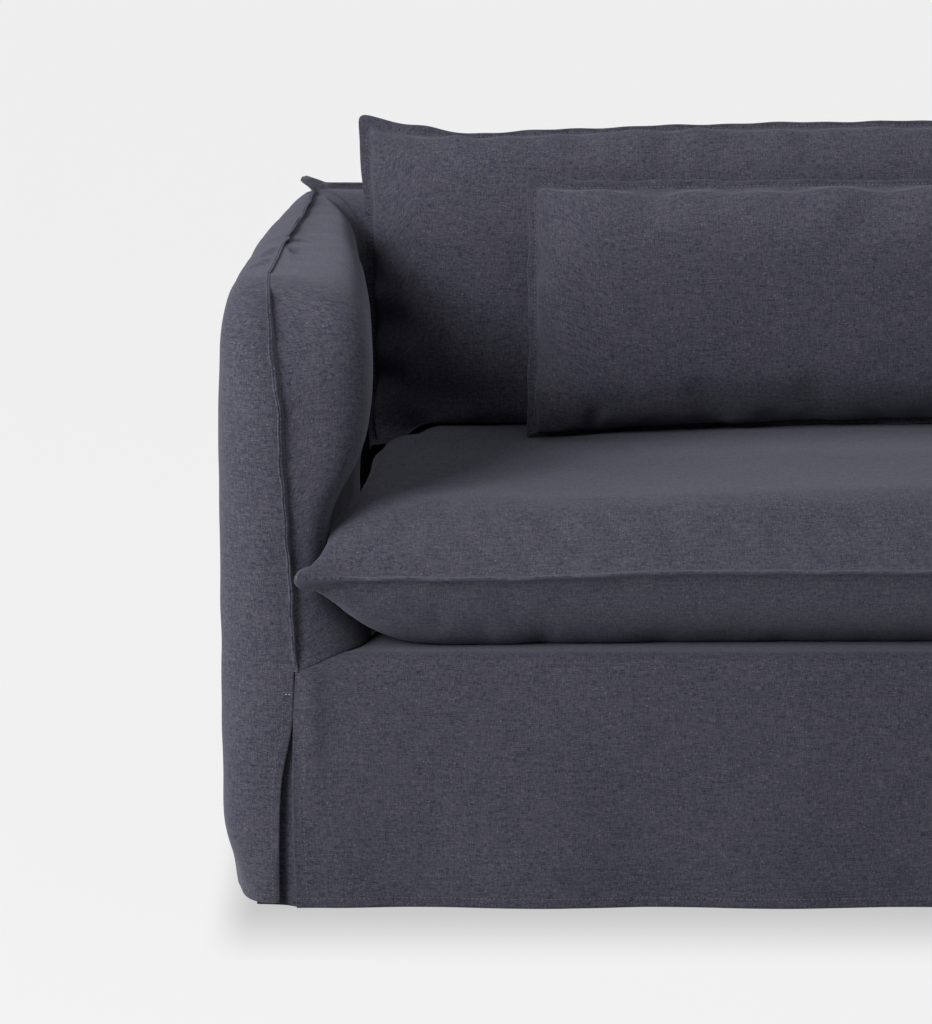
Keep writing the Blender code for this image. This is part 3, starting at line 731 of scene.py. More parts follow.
def panel(name, outer, first, last, step, relief):
    """A panel cut from a band between two stations, with its part of the fin and its own folds."""
    coarse = outer_band if outer else inner_band
    across_knots, up_knots = run_length(coarse, 1), run_length(coarse, 0)
    cut, sunk = OUTER_CUT if outer else INNER_CUT
    if not outer and (first == 0 or last == LAST_STATION):
        sunk = -sunk
    start = across_knots[first] + (cut if first else 0.0)
    end = across_knots[last] - (cut if last < LAST_STATION else 0.0)
    columns, rows = graded(start, end, step), graded(0.0, up_knots[-1], step)
    finer_across = through(across_knots, coarse.transpose(1, 0, 2), columns).transpose(1, 0, 2)
    grid = through(up_knots, finer_across, rows)
    normal = grid_normals(grid, -1.0 if outer else 1.0)
    calm = smooth((up_knots[-1] - rows) / SEAM_CALM)[:, None]
    sides = ((columns - start, first > 0), (end - columns, last < LAST_STATION))
    for side, is_cut in sides:
        if is_cut:
            groove = np.exp(-((side / GROOVE_WIDTH) ** 2)) * calm
            grid = grid - normal * (sunk * groove)[..., None]
    for side, is_cut in sides:
        calm = calm * smooth(side / (CUT_CALM if is_cut else NOSE_CALM))
    grid = grid + normal * (relief(grid) * calm)[..., None]

    station = np.interp(columns, across_knots, np.arange(LAST_STATION + 1))
    points = np.concatenate([grid, top_fin(grid[-1], station)])
    uv, numbers = metre_map(points), numbered(points.shape)
    quads = [grid_quads(numbers)]
    all_points, all_uv, count = [points.reshape(-1, 3)], [uv.reshape(-1, 2)], numbers.size
    for column, side, is_cut in ((0, -1.0, first > 0), (-1, 1.0, last < LAST_STATION)):
        if is_cut:
            continue
        seam_rows = np.flatnonzero(grid[:, column, 2] >= (NOSE_FOOT if outer else 0.0))[:-1]
        before = numbers[seam_rows, column]
        for edge, shift in nose_fin(grid[seam_rows, column], side):
            after = count + np.arange(len(edge))
            count += len(edge)
            low, high = (after, before) if column == 0 else (before, after)
            quads.append(np.stack([low[:-1], high[:-1], high[1:], low[1:]], axis=-1))
            all_points.append(edge)
            all_uv.append(uv[seam_rows, column] + shift)
            before = after
    quads = np.vstack(quads)
    if outer:
        quads = quads[:, ::-1]
    obj = thicken(make_mesh(name + "_cloth", np.vstack(all_points), quads, np.vstack(all_uv), cover_linen))
    ride_on_root(obj, "cover_cloth", name)
    print(name, "faces:", len(quads))
    return obj, grid, normal, rows, columns


# %% Both arms and the back
def mirrored(folds):
    """The same folds on the other arm."""
    return [(np.array(start) * MIRROR, np.array(end) * MIRROR, *size) for start, end, *size in folds]


def three_panels(outer, station, relief, seeds, folds):
    """A band's left arm, right arm and back, cut at a station, each uneven by a seed of its own."""
    side = "outside" if outer else "inside"
    other = LAST_STATION - station
    return (
        panel(side + "_arm_left", outer, 0, station, ARM_STEP, relief(seeds[0], folds)),
        panel(side + "_arm_right", outer, other, LAST_STATION, ARM_STEP, relief(seeds[1], mirrored(folds))),
        panel(side + "_back", outer, station, other, BACK_STEP, relief(seeds[2], ())),
    )


# %% [markdown]
# ## The outer band
# Each outside arm is one pillow-like face from the floor to the seam. Pulled folds run from the point where
# the fin turns down over the nose, and the skirt's foot is a little uneven, as a hanging hem is. Simulated
# cloth would fold in places of its own, so each fold here is a groove along a line.

# %% Outer panels
OUTER_FOLDS = (
    # start and end seen from above, depth, width
    ((-0.861, -0.118), (-0.879, -0.225), 0.0034, 0.0050),
    ((-0.873, -0.210), (-0.868, -0.375), 0.0034, 0.0045),
    ((-0.881, -0.245), (-0.878, -0.375), 0.0036, 0.0045),
    ((-0.890, -0.255), (-0.887, -0.370), 0.0028, 0.0050),
)


def outer_relief(seed, folds):
    """Unevenness of an outer panel: broad softness, a wavering foot and its pulled folds."""

    def relief(grid):
        soft = 0.0011 * waves(grid, 0.22, seed) + 0.0004 * waves(grid, 0.07, seed + 1)
        foot = 0.0012 * waves(grid * np.array([1.0, 1.0, 0.15]), 0.09, seed + 2)
        return folded(grid, soft + foot * (1.0 - smooth(grid[..., 2] / 0.25)), folds)

    return relief


outer_panels = three_panels(True, REAR_STATION, outer_relief, (3, 5, 7), OUTER_FOLDS)
outside_arm_left, outside_arm_right, outside_back = outer_panels

# %% [markdown]
# ## The inner band
# The inside arms are pressed by the seat cushion, and their top roll shows fine folds beside the fin. The
# press could be left to a simulation of arm and cushion together. A table by height is quicker, and it keeps
# the two clear of each other.

# %% Inner panels
INNER_FOLDS = (
    ((-0.854, -0.045), (-0.820, -0.110), 0.0020, 0.0045),
    ((-0.856, -0.112), (-0.828, -0.175), 0.0030, 0.0040),
    ((-0.853, -0.120), (-0.818, -0.230), 0.0034, 0.0045),
    ((-0.849, -0.140), (-0.822, -0.300), 0.0026, 0.0050),
)


def inner_relief(seed, folds):
    """Unevenness of an inner panel: broad softness and its pulled folds."""

    def relief(grid):
        shift = 0.0008 * waves(grid, 0.20, seed) + 0.0003 * waves(grid, 0.06, seed + 1)
        return folded(grid, shift * smooth((grid[..., 2] - DECK_Z - 0.004) / 0.030), folds)

    return relief


inner_panels = three_panels(False, VALLEY_STATION, inner_relief, (11, 13, 17), INNER_FOLDS)

# %% [markdown]
# ## Front skirt, deck and pleats
# The front panel hangs from the edge of the deck and runs back over a rolled edge to the noses' feet. A slit
# at each corner shows a strip of the same cloth behind it, coloured darker as painted shade. Cloth that is
# dropped in a simulation would leave the slits' width to chance, so the panel is a grid of columns whose
# edges are given.

# %% Front skirt
UNDER_ARM = 0.012
SKIRT_STEP = 0.0072
SHELF_AT = (0.200, 0.260, 0.340, 0.460, 0.600, 0.760, HALF)
HEM_ROWS = (0.0, 0.003, 0.007, 0.0105, 0.0118, 0.0125, 0.0135, 0.016)


def skirt_line(length):
    """Depth and height at lengths up the skirt: up the front, round the edge, then back over the shelf."""
    straight = DECK_Z - EDGE_RADIUS
    turn = np.clip((length - straight) / EDGE_RADIUS, 0.0, math.pi / 2)
    past = np.maximum(length - straight - EDGE_RADIUS * math.pi / 2, 0.0)
    return EDGE_RADIUS * (1 - np.cos(turn)) + past, np.minimum(length, straight) + EDGE_RADIUS * np.sin(turn)


def skirt_ripple(inwards, height):
    """Soft upright waves in the front skirt, deepest at the hem."""
    share = smooth((inwards - 0.11) / 0.05) * (1.0 - smooth(height / 0.300))
    return 0.004 * np.sin(21.0 * inwards) * share


# %% The skirt's columns
def front_skirt():
    """The front panel as columns from one slit to the other, each as long as the shelf behind it allows."""
    nose_line = inner_line(DECK_Z)[: NOSE_STEPS + 1] - np.array([-HALF, FRONT_Y])
    ends = np.append(nose_line[:, 1] + UNDER_ARM, np.full(len(SHELF_AT), SHELF_DEPTH))
    at = np.append(nose_line[:, 0], SHELF_AT)
    near_slit = 0.0915 + np.array([0, 0.0015, 0.003, 0.006])
    inwards = np.concatenate([near_slit, np.arange(0.1045, HALF, SKIRT_STEP), [HALF]])
    end = np.interp(inwards, at, ends)
    turn = np.arccos(1.0 - np.clip(end / EDGE_RADIUS, 0.0, 1.0))
    total = DECK_Z - EDGE_RADIUS + EDGE_RADIUS * turn + np.maximum(end - EDGE_RADIUS, 0.0)
    low = np.concatenate([HEM_ROWS, np.arange(0.022, 0.284, SKIRT_STEP)])
    share = np.linspace(0.0, 1.0, 26)[1:]
    upper = low[-1] + share[:, None] * (total - low[-1])
    length = np.vstack([np.repeat(low[:, None], len(inwards), 1), upper])
    depth, height = skirt_line(length)
    slit = table(SKIRT_EDGE, height) + GAP / 2 - nose_line[0, 0]
    across = inwards + slit * (1.0 - smooth((inwards - 0.090) / 0.060))
    across = np.where(np.arange(len(inwards)) == 0, nose_line[0, 0] + slit, across)
    half = np.dstack([across - HALF, FRONT_Y + depth - skirt_ripple(inwards, height), height])
    return np.concatenate([half, half[:, -2::-1] * np.array([-1.0, 1.0, 1.0])], axis=1)


# %% The skirt's folds
def skirt_relief(grid):
    """Unevenness of the skirt: broad softness and one soft fold beside the left slit, none at the edges."""
    x, y, z = np.moveaxis(grid, -1, 0)
    fold = np.exp(-(((x + 0.816) / 0.013) ** 2)) * smooth((0.302 - z) / 0.03)
    shift = 0.0009 * waves(grid * np.array([1.0, 1.0, 0.35]), 0.16, 23) + 0.0003 * waves(grid, 0.05, 24)
    shift = shift + 0.0050 * fold * smooth((z - 0.08) / 0.16)
    column = np.arange(grid.shape[1])
    shift = shift * smooth(np.minimum(column, column[::-1]) / 4.0)
    shift = shift * smooth((SHELF_DEPTH - 0.02 - y + FRONT_Y) / 0.03)
    return shift * smooth((0.300 - z) / 0.02 + 0.1)


skirt_grid = front_skirt()
skirt_normal = grid_normals(skirt_grid, 1.0)
skirt_grid = skirt_grid + skirt_normal * skirt_relief(skirt_grid)[..., None]
skirt = sheet_piece("front_skirt", skirt_grid)


# %% Seat deck
def seat_deck():
    """The flat cloth under the seat cushion, from the skirt's end to the inside back."""
    half = inner_line(DECK_Z)[NOSE_STEPS + 1 : LAST_STATION // 2 + 1 - len(BACK_SHARES)]
    first = INNER_FACE - HALF - UNDER_ARM
    edge = np.vstack([(first, SHELF_DEPTH + GAP + FRONT_Y), half + np.array([-UNDER_ARM, UNDER_ARM])])
    knots = lengths(edge)
    at = np.linspace(0.0, knots[-1], 60)
    edge = np.column_stack([np.interp(at, knots, edge[:, 0]), np.interp(at, knots, edge[:, 1])])
    share = np.linspace(1.0, -1.0, 121)
    x = edge[:, :1] * share
    grid = np.dstack([x, np.repeat(edge[:, 1:], len(share), axis=1), np.full_like(x, DECK_Z)])
    sag = 0.0009 * (0.5 + 0.5 * waves(grid, 0.25, 31)) * smooth((1.0 - np.abs(share)) / 0.06)
    grid[..., 2] -= np.clip(sag, 0.0, 0.002)
    return grid


deck = sheet_piece("seat_deck", seat_deck())

# %% Pleat underlays
SLIT_TOP = 0.262
BEHIND_SKIRT = CLOTH + GAP
UNDERLAY_INWARDS = np.array([0.042, 0.060, 0.078, 0.092, 0.115, 0.150])
UNDERLAY_DEPTH = np.array([0.0165, 0.0150, 0.0110, 0.0035, 0.0023, 0.0023])


def pleat_underlay(name, side):
    """The strip behind a front slit: flat against the skirt's back, and set back behind the flap."""
    inwards = np.linspace(UNDERLAY_INWARDS[0], UNDERLAY_INWARDS[-1], 24)
    across, up = np.meshgrid(inwards, graded(0.0, SLIT_TOP, 0.010))
    ripple = skirt_ripple(across, up)
    back = through(UNDERLAY_INWARDS, UNDERLAY_DEPTH, inwards)[None, :] - ripple
    back = back + 0.0006 * np.sin(across * 90.0 + up * 11.0) * (across < 0.090)
    grid = np.dstack([side * (HALF - across), FRONT_Y + np.maximum(back, BEHIND_SKIRT - ripple), up])
    # The strip takes the darker copy of the linen, which paints the shade behind the slit.
    return sheet_piece(name, grid, "pleat_cloth", pleat_shaded_linen, turned=side > 0)


underlay_left = pleat_underlay("pleat_underlay_left", -1.0)
underlay_right = pleat_underlay("pleat_underlay_right", 1.0)

# %% [markdown]
# ## Cushions
# Each cushion is two faces of cloth sewn together on a fin. The faces are cut a little too large for the rim,
# and the filling pushes them out, which gives the crown, the drawn-in sides and the puckers. So each starts
# as two slightly flat faces on one pinned rim and is blown up as cloth. The fin is added to the rim after.

# %% The cloth of a cushion
FIN_HALF = 0.0021
FRAMES = 20
CUSHION_CLOTH = {
    "quality": 6,
    "mass": 0.35,
    "tension_stiffness": 18.0,
    "compression_stiffness": 18.0,
    "shear_stiffness": 6.0,
    "bending_stiffness": 0.4,
    "use_pressure": True,
    "uniform_pressure_force": 4.0,
    "vertex_group_mass": "rim",
}
print("cushions are blown up over", FRAMES, "frames")


# %% Faces and rims
def spaced(count, bias):
    """Stations from -1 to 1, closer together near the ends: a blend of even steps and sine steps."""
    even = np.linspace(-1.0, 1.0, count)
    return even * (1.0 - bias) + np.sin(even * math.pi / 2) * bias


def fullness(u, v, square_u, square_v):
    """How full a cushion is: sqrt((1 - |u|^a) * (1 - |v|^b)), 1 in the middle and 0 at the seam."""
    return np.sqrt((1.0 - np.abs(u) ** square_u) * (1.0 - np.abs(v) ** square_v))


def rim_loop(grid):
    """A grid's rim as one closed line: along the first row, up, back along the last row, and down."""
    return np.concatenate([grid[0], grid[1:, -1], grid[-1, -2::-1], grid[-2:0:-1, 0]])


def shell_numbers(shape):
    """Point numbers of two grids that share their rim."""
    upper = numbered(shape)
    lower = upper.copy()
    lower[1:-1, 1:-1] = upper.size + numbered((shape[0] - 2, shape[1] - 2))
    return upper, lower


# %% Blowing up a cushion
def blown_up(upper, lower, growth, cap):
    """Simulate two faces on a pinned rim as cloth under pressure, and cap how far each point moves."""
    upper_numbers, lower_numbers = shell_numbers(upper.shape[:2])
    start = np.vstack([upper.reshape(-1, 3), lower[1:-1, 1:-1].reshape(-1, 3)])
    quads = np.vstack([grid_quads(upper_numbers), grid_quads(lower_numbers)[:, ::-1]])
    mesh = bpy.data.meshes.new("shell")
    mesh.from_pydata(start.tolist(), [], quads.tolist())
    shell = bpy.data.objects.new("shell", mesh)
    scene.collection.objects.link(shell)
    shell.vertex_groups.new(name="rim").add(np.unique(rim_loop(upper_numbers)).tolist(), 1.0, "REPLACE")
    cloth = shell.modifiers.new("Cloth", "CLOTH")
    for name, value in CUSHION_CLOTH.items():
        setattr(cloth.settings, name, value)
    cloth.settings.effector_weights.gravity = 0.0
    cloth.settings.shrink_min = -growth
    cloth.point_cache.frame_start, cloth.point_cache.frame_end = 1, FRAMES
    for number in range(1, FRAMES + 1):
        scene.frame_set(number)
    bpy.context.view_layer.update()
    posed = shell.evaluated_get(bpy.context.evaluated_depsgraph_get()).data
    moved = np.empty(len(posed.vertices) * 3)
    posed.vertices.foreach_get("co", moved)
    move = moved.reshape(-1, 3) - start
    distance = np.linalg.norm(move, axis=1, keepdims=True)
    moved = start + move * np.minimum(1.0, cap / np.maximum(distance, 1e-9))
    print("moved by up to", round(float(distance.max()) * 1000, 1), "mm, capped at", cap * 1000)
    bpy.data.objects.remove(shell, do_unlink=True)
    bpy.data.meshes.remove(mesh)
    scene.frame_set(1)
    return moved[upper_numbers], moved[lower_numbers]


# %% Shape of a cushion's fin
# Lines round the fin: share of its reach, level in half thicknesses, and which face, 1, 0 or -1.
FIN_FACE = ((0.30, 1.0, 1), (0.65, 0.95, 1), (0.97, 0.80, 1))
FIN_PROFILE = (*FIN_FACE, (1.0, 0.0, 0), *((share, -level, -face) for share, level, face in FIN_FACE[::-1]))
LOBE_SIZE = 0.026
FAN_LENGTH = 0.012
EAR_FADE = 0.022


def flange_reach(u, v, size, fin, ears):
    """Fin vectors in the seam's plane: straight out along the sides, and fanned round the far corners."""
    at_side = (np.abs(u) > 0.999) * np.sign(u)
    at_end = (np.abs(v) > 0.999) * np.sign(v)
    (near_x, near_y), (far_x, far_y) = ears
    ear_x, ear_y = np.where(v < 0, near_x, far_x), np.where(v < 0, near_y, far_y)
    radius = 0.72 * np.minimum(ear_x, ear_y)
    to_corner = (1.0 - np.abs(u)) * size[0] + (1.0 - np.abs(v)) * size[1] / 2
    turn = math.pi / 4 * np.clip(1.0 - to_corner / FAN_LENGTH, 0.0, 1.0)
    fade = np.exp(-((np.maximum(to_corner - FAN_LENGTH, 0.0) / EAR_FADE) ** 2))
    outwards = -radius * (1.0 - np.cos(turn))
    onwards = -radius * (1.0 - np.sin(turn)) + np.minimum(to_corner, FAN_LENGTH)
    across = np.where(at_side != 0, fin + (ear_x + outwards - fin) * fade, (ear_x + onwards) * fade)
    along = np.where(at_side != 0, (ear_y + onwards) * fade, fin + (ear_y + outwards - fin) * fade)
    across, along = across * np.sign(u), along * np.sign(v)
    rim = (np.abs(at_side) + np.abs(at_end)) > 0
    return np.dstack([across * rim, along * rim, np.zeros_like(across)])


# %% A cushion with its fin
def finned_cushion(node, upper, lower, reach, flat_reach, up, sway, swell=0.0, lobes=()):
    """A closed cushion from its two faces: their rims part by the fin's thickness, and the fin is added."""
    up = np.array(up)
    numbers = numbered(upper.shape)
    count = numbers.size
    loop, rim = rim_loop(numbers), rim_loop(upper)
    run = lengths(rim)
    out = rim_loop(reach) * (1.0 + 0.10 * np.sin(run * 97.0) + 0.09 * np.sin(run * 41.0 + 1.0))[:, None]
    sway = sway * (np.sin(run * 71.0) + 0.7 * np.sin(run * 113.0 + 2.0)) / 1.7
    flat = rim_loop(flat_reach)[:, :2]
    swell = FIN_HALF * swell

    def puff(place):
        """How near each point is to a lobed corner, from 0 to 1."""
        near = [np.exp(-((place - rim[k]) ** 2).sum(axis=-1, keepdims=True) / LOBE_SIZE**2) for k in lobes]
        return sum(near) if near else np.zeros((*place.shape[:-1], 1))

    points = [
        (face + sign * up * (FIN_HALF + 0.8 * swell * puff(face))).reshape(-1, 3)
        for face, sign in ((upper, 1.0), (lower, -1.0))
    ]
    upper_uv = metre_map(upper)
    lower_uv = metre_map(lower) + np.array([0.0, 3.0])
    uv = [upper_uv.reshape(-1, 2), lower_uv.reshape(-1, 2)]
    rings = [loop]
    for share, level, face in FIN_PROFILE:
        lobe = swell * puff(rim) * face * (1.0 - 0.2 * (1.0 - share) ** 2) * math.sqrt(1.0 - share**2)
        rings.append(2 * count + (len(rings) - 1) * len(loop) + np.arange(len(loop)))
        points.append(rim + out * share + up * (FIN_HALF * level + lobe + sway[:, None] * share**1.5))
        uv.append(rim_loop(upper_uv if face >= 0 else lower_uv) + flat * share)
    rings.append(loop + count)
    closed = [np.append(ring, ring[0]) for ring in rings]
    quads = [grid_quads(numbers), grid_quads(numbers + count)[:, ::-1]]
    quads += [strip(low, high)[:, ::-1] for low, high in zip(closed[:-1], closed[1:])]
    obj = make_mesh(node + "_linen", np.vstack(points), np.vstack(quads), np.vstack(uv), cover_linen)
    edit = bmesh.new()
    edit.from_mesh(obj.data)
    bmesh.ops.recalc_face_normals(edit, faces=edit.faces)
    edit.to_mesh(obj.data)
    edit.free()
    finer = obj.modifiers.new("finer", "SUBSURF")
    finer.levels = finer.render_levels = 1
    ride_on_root(obj, "cover_cloth", node)
    print(obj.name, "faces:", sum(len(q) for q in quads) * 4)
    return rim, out


# %% [markdown]
# ### The seat
# The bench seat fills the space between the arms, and its front corners spread round the noses. A swollen box
# would end in straight sides, so both faces follow a table of widths by depth. Once they are blown up they
# are held to the deck below and to the crown above, as the weight of the filling holds them.

# %% Seat cushion
SEAT_TOP = 0.485
SEAT_SEAM_Z = 0.410
SEAT_MIDDLE = -0.112
SEAT_HALF_DEPTH = 0.356
SEAT_FIN = 0.0072
PRESSED_FROM = -0.030
PRESSED_LENGTH = 0.120
SEAT_COLUMNS = 116
# By depth behind the front: half the seat's width.
SEAT_HALF_WIDTH = (
    (-0.028, 0.817), (-0.010, 0.808), (0.020, 0.797), (0.050, 0.789), (0.100, 0.777), (0.180, 0.762),
    (0.350, 0.753), (0.440, 0.753), (0.500, 0.743), (0.530, 0.728), (0.570, 0.702),
)


def seat_level(x, y):
    """Height of the seat's top: fuller in the middle, and pressed a little where the cushions stand."""
    crown = 0.478 + 0.0115 * smooth((0.60 - np.abs(x)) / 0.50)
    return crown + 0.004 * smooth((PRESSED_FROM - y) / PRESSED_LENGTH)


def seat_cushion():
    """The seat's two faces from its seam: z = seam + rise and z = seam - drop, then blown up and pressed."""
    v, u = np.meshgrid(spaced(56, 0.55), spaced(SEAT_COLUMNS, 0.40), indexing="ij")
    y = SEAT_MIDDLE + SEAT_HALF_DEPTH * v
    x = u * table(SEAT_HALF_WIDTH, y - FRONT_Y)
    level = SEAT_SEAM_Z + 0.008 * smooth((0.75 - np.abs(u)) / 0.30) * (v < 0)
    rise = (seat_level(x, y) - 0.002 - level) * fullness(u, v, 34.0, np.where(v < 0, 3.4, 18.0))
    drop = (level - DECK_Z + 0.014) * fullness(u, v, 16.0, 4.2)
    to_rear = smooth((y - FRONT_Y - 0.300) / 0.280)
    side = within(np.abs(u), 0.90, 0.06, 0.985, 0.015)
    bulge = 0.025 * side * smooth((y - FRONT_Y + 0.078) / 0.170)
    bulge = bulge * (1.0 - 0.1 * to_rear) * (1.0 - smooth((v - 0.80) / 0.20))
    upper = np.dstack([x + np.sign(u) * bulge, y, level + rise])
    lower = np.dstack([x, y, level - drop])
    upper, lower = blown_up(upper, lower, growth=0.01, cap=0.010)
    upper[..., 2] = np.minimum(upper[..., 2], seat_level(upper[..., 0], upper[..., 1]) - FIN_HALF)
    lower[..., 2] = np.maximum(lower[..., 2], DECK_Z + GAP + FIN_HALF)
    size = (SEAT_HALF_WIDTH[0][1], 2 * SEAT_HALF_DEPTH)
    reach = flange_reach(u, v, size, SEAT_FIN, ((0.018, 0.013), (SEAT_FIN, SEAT_FIN)))
    return upper, lower, reach, reach


corners = (0, SEAT_COLUMNS - 1)
finned_cushion("seat_cushion", *seat_cushion(), up=(0.0, 0.0, 1.0), sway=0.0012, swell=6.4, lobes=corners)

# %% [markdown]
# ### Back and lumbar cushions
# Both stand on the seat and lean back. Their feet are pressed flat and their top corners stand up as ears.
# They are sewn alike, so one function makes both. It works each out lying flat, which keeps the formulas
# plain, and then turns it and sets it down on the seat. To drop them in a simulation would be less sure.

# %% Setting a cushion on the seat
LEAN = math.radians(5.0)
FORWARDS = (0.0, -math.cos(LEAN), math.sin(LEAN))
OUTLINE_FIN = 0.009
SIDE_FIN = 0.0120
TOP_FIN = 0.0075
END_FIN = 0.0135
CORNER_BEND = 0.032
BEND_FROM = 0.682
BEND_LENGTH = 0.056


def foot_forwards(wide, upper_half, foot_forward, half_thick):
    """How far the foot's middle plane stands forward: less so up the cushion, never back at its corners."""
    share = foot_forward - min(foot_forward, 0.0) * smooth((wide - 0.80) / 0.18)
    return share * half_thick * (1.0 - smooth(upper_half / 0.12))


def stood(face, turn, foot_y, wide, v, foot_sag, foot_lift):
    """Lean a face back, set it on the seat, let its foot sag, and let its corners bend down past the seat."""
    upper_half = (v + 1.0) / 2.0
    placed = face @ turn + np.array([0.0, foot_y, SEAT_TOP + 0.002 + GAP])
    ground = seat_level(placed[..., 0], 0.0)
    sag = foot_sag * (1.0 + 1.6 * smooth((wide - 0.84) / 0.11)) * smooth((0.14 - upper_half) / 0.12)
    placed[..., 2] -= (SEAT_TOP - ground) * (1.0 - upper_half) ** 2
    placed[..., 2] -= sag
    ground = ground - CORNER_BEND * smooth((np.abs(placed[..., 0]) - BEND_FROM) / BEND_LENGTH)
    placed[..., 2] = np.maximum(placed[..., 2], ground + GAP + FIN_HALF + foot_lift * (v < -0.999))
    return placed


# %% Standing cushions
def standing_cushion(name, size, foot_y, spread, top, ears, foot_shape, puffs, seed):
    """A cushion's two faces, full low down and thin at the top seam, leant back about its foot.

    size: half the width, the height and the thickness. top: the rise of its middle and of its corners,
    and where those start. foot_shape: how far forward and how square it is, how far it sags, and how high
    its seam is held. puffs: where the crown's ends begin, how long they take, the brow there and in the
    middle, and how far the sides are pulled out.
    """
    half_width, height, thick = size
    rise, corner_up, corner_from = top
    foot_forward, foot_square, foot_sag, foot_lift = foot_shape
    fin_from, fin_over, end_brow, middle_brow, pull = puffs
    counts = int(height / 0.0100), int(half_width * 2 / 0.0125)
    v, u = np.meshgrid(spaced(counts[0], 0.80), spaced(counts[1], 0.60), indexing="ij")
    wide, upper_half = np.abs(u), (v + 1.0) / 2.0
    corner = np.clip((wide - corner_from) / (1.0 - corner_from), 0.0, 1.0)
    end_share = smooth((wide - fin_from) / fin_over)
    top_fin = TOP_FIN + (END_FIN - TOP_FIN) * end_share
    edge = rise * (1.0 - u**2) + corner_up * corner**1.1 - (top_fin - OUTLINE_FIN)
    along = height * upper_half + upper_half**3 * edge
    across = u * (half_width - (SIDE_FIN - OUTLINE_FIN) + spread * upper_half**2)

    scallop = waves(np.dstack([across, 0 * v, 0 * v]), 0.055, seed, 5)
    brow = end_brow + (middle_brow - end_brow) * (1.0 - end_share) + 0.0030 * scallop
    brow = brow * within(v, 0.55, 0.36, 0.952, 0.048) * (1.0 - smooth((wide - 0.975) / 0.025))
    side_pull = pull + 0.0035 * waves(np.dstack([0 * u, along, 0 * u]), 0.05, seed + 1, 5)
    side_pull = side_pull * within(wide, 0.91, 0.07, 0.988, 0.012) * (1.0 - smooth((np.abs(v) - 0.93) / 0.07))

    full = 0.94 * thick / 2 * fullness(u, v, 9.0, np.where(v < 0, foot_square, 4.2))
    forward = foot_forwards(wide, upper_half, foot_forward, thick / 2)
    foot = 0.004 * (v < -0.999)
    sunk = 0.014 * (1.0 - upper_half) ** 8 * (v > -0.999)
    front_depth = forward * (1.0 - full / (thick / 2)) + full
    back_depth = forward - full * (1.0 + forward / (thick / 2))
    front = np.dstack([across + np.sign(u) * side_pull, along + brow + foot, front_depth])
    back = np.dstack([across, along + brow * 0.7 + foot - sunk, back_depth])
    faces = blown_up(front, back, growth=0.012, cap=0.009)

    reach = flange_reach(u, v, (half_width, height), SIDE_FIN, ears)
    from_corner = (1.0 - wide[-1]) * half_width
    reach[-1, :, 1] += (top_fin - SIDE_FIN)[-1] * (1.0 - np.exp(-((from_corner / 0.030) ** 2)))
    reach[0] *= np.array([1.0, 0.8 if foot_lift > 0.0 else 0.15, 1.0])
    turn = np.array([[1.0, 0.0, 0.0], [0.0, math.sin(LEAN), math.cos(LEAN)], FORWARDS])
    faces = [stood(face, turn, foot_y, wide, v, foot_sag, foot_lift) for face in faces]
    return finned_cushion(name, *faces, reach @ turn, reach, up=FORWARDS, sway=0.0016)


# %% Back cushion
back_fin = standing_cushion(
    "back_cushion",
    size=(0.752, 0.344, 0.156),
    foot_y=0.183,
    spread=0.009,
    top=(0.024, 0.028, 0.83),
    ears=((0.010, 0.010), (0.018, 0.019)),
    foot_shape=(0.70, 5.5, 0.014, 0.0),
    puffs=(0.82, 0.11, 0.0125, 0.0205, 0.0110),
    seed=41,
)

# %% Lumbar cushion
lumbar_fin = standing_cushion(
    "lumbar_cushion",
    size=(0.545, 0.310, 0.122),
    foot_y=0.038,
    spread=0.0,
    top=(0.001, 0.005, 0.90),
    ears=((0.012, 0.008), (0.017, 0.018)),
    foot_shape=(-0.50, 2.7, 0.0, 0.0085),
    puffs=(0.15, 0.75, 0.0100, 0.0150, 0.0065),
    seed=43,
)

# %% [markdown]
# ## Sewing thread
# A hem and a fin are held by a row of stitches. Each stitch is a small spindle of thread that lies on the
# cloth: its two ends are on the sewing line and its middle stands a little proud of it. A tube along the
# line would look like piping, and a line in the finish alone would lie flat.

# %% Stitches
PITCH, STITCH, THREAD = 0.0052, 0.0030, 0.00032
TACK_PITCH, TACK_STITCH, TACK_THREAD = 0.0038, 0.0032, 0.0006
LIFT = 0.0001
HEM = 0.0115
FLAP_HEM = 0.0085
SLIT_ROWS = slice(7, 36)
SLIT_COLUMNS = (4, -5)
SPINDLE = np.array([(0, 2, 4), (2, 1, 4), (1, 3, 4), (3, 0, 4), (2, 0, 5), (1, 2, 5), (3, 1, 5), (0, 3, 5)])


def read(run, values, at):
    """Each column of values, read at lengths of a run."""
    return np.column_stack([np.interp(at, run, column) for column in values.T])


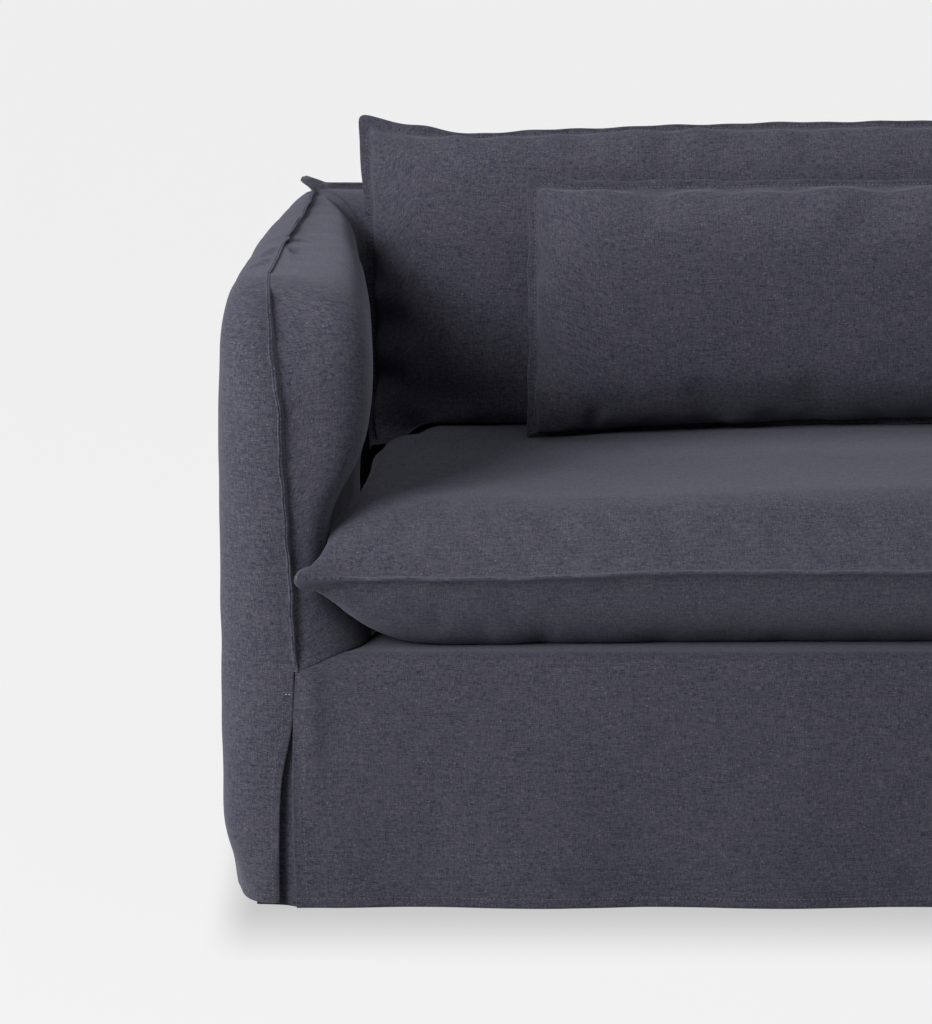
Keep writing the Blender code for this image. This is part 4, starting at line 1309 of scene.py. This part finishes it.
def stitches(name, lines, thread, pitch=PITCH, length=STITCH, width=THREAD):
    """Rows of spindles along lines, each given as its points and the cloth's normals there."""
    points, faces = [], []
    for path, normals in lines:
        run = lengths(path)
        starts = np.arange(0.3 * pitch, run[-1] - length, pitch)
        ends = np.stack([read(run, path, at) for at in (starts, starts + length)])
        normal = read(run, normals, starts)
        normal /= np.linalg.norm(normal, axis=1)[:, None]
        middle = ends.mean(axis=0)
        side = np.cross(ends[1] - ends[0], normal)
        side *= width / np.linalg.norm(side, axis=1)[:, None]
        thick = normal * width
        parts = [ends[0], ends[1], middle + side, middle - side, middle + thick, middle - thick]
        base = sum(len(p) for p in points) + np.arange(len(starts))[:, None, None] * len(parts)
        points.append(np.stack(parts, axis=1).reshape(-1, 3))
        faces.append((SPINDLE + base).reshape(-1, 3))
    points = np.vstack(points)
    ride_on_root(make_mesh(name, points, np.vstack(faces), points[:, [0, 2]], thread), "cover_cloth")
    print(name, "stitches:", len(points) // 6)


# %% Sewing lines
def fin_lines(rim, out, share):
    """The sewing lines on both faces of a standing cushion's fin."""
    up = np.array(FORWARDS)
    line = rim + out * share
    lift = FIN_HALF * 1.02 + LIFT
    return [(line + side * up * lift, np.tile(side * up, (len(rim), 1))) for side in (1.0, -1.0)]


def line_on(grid, normal, rows, row, columns=slice(None)):
    """A line across a panel at a length up it, lifted a little off the cloth, with the normals there."""
    above = np.searchsorted(rows, row)
    share = (row - rows[above - 1]) / (rows[above] - rows[above - 1])
    points, ways = (field[above - 1] + share * (field[above] - field[above - 1]) for field in (grid, normal))
    return (points + ways * LIFT)[columns], ways[columns]


def flap_lines(made, right):
    """A flap's upright sewing line beside its slit, from the hem up to where the slit closes."""
    _, grid, normal, rows, columns = made
    column = columns[-1] - FLAP_HEM if right else columns[0] + FLAP_HEM
    turned = (field.transpose(1, 0, 2) for field in (grid, normal))
    return line_on(*turned, columns, column, (rows > HEM) & (rows < SLIT_TOP))


# %% Fin thread, hem thread and bar tacks
stitches("fin_thread", fin_lines(*back_fin, 0.35) + fin_lines(*lumbar_fin, 0.30), seam_thread)
hem_lines = [line_on(*made[1:4], HEM) for made in (outside_arm_left, outside_arm_right, outside_back)]
hem_lines += [line_on(skirt_grid, skirt_normal, skirt_grid[:, 0, 2], HEM)]
hem_lines += [flap_lines(outside_arm_left, False), flap_lines(outside_arm_right, True)]
hem_lines += [(skirt_grid[SLIT_ROWS, k] - [0, LIFT, 0], skirt_normal[SLIT_ROWS, k]) for k in SLIT_COLUMNS]
stitches("hem_thread", hem_lines, seam_thread)
tack_lines = [line_on(*outside_arm_left[1:4], SLIT_TOP, slice(1, 5))]
tack_lines += [line_on(*outside_arm_right[1:4], SLIT_TOP, slice(-5, -1))]
stitches("bar_tacks", tack_lines, tack_thread, TACK_PITCH, TACK_STITCH, TACK_THREAD)
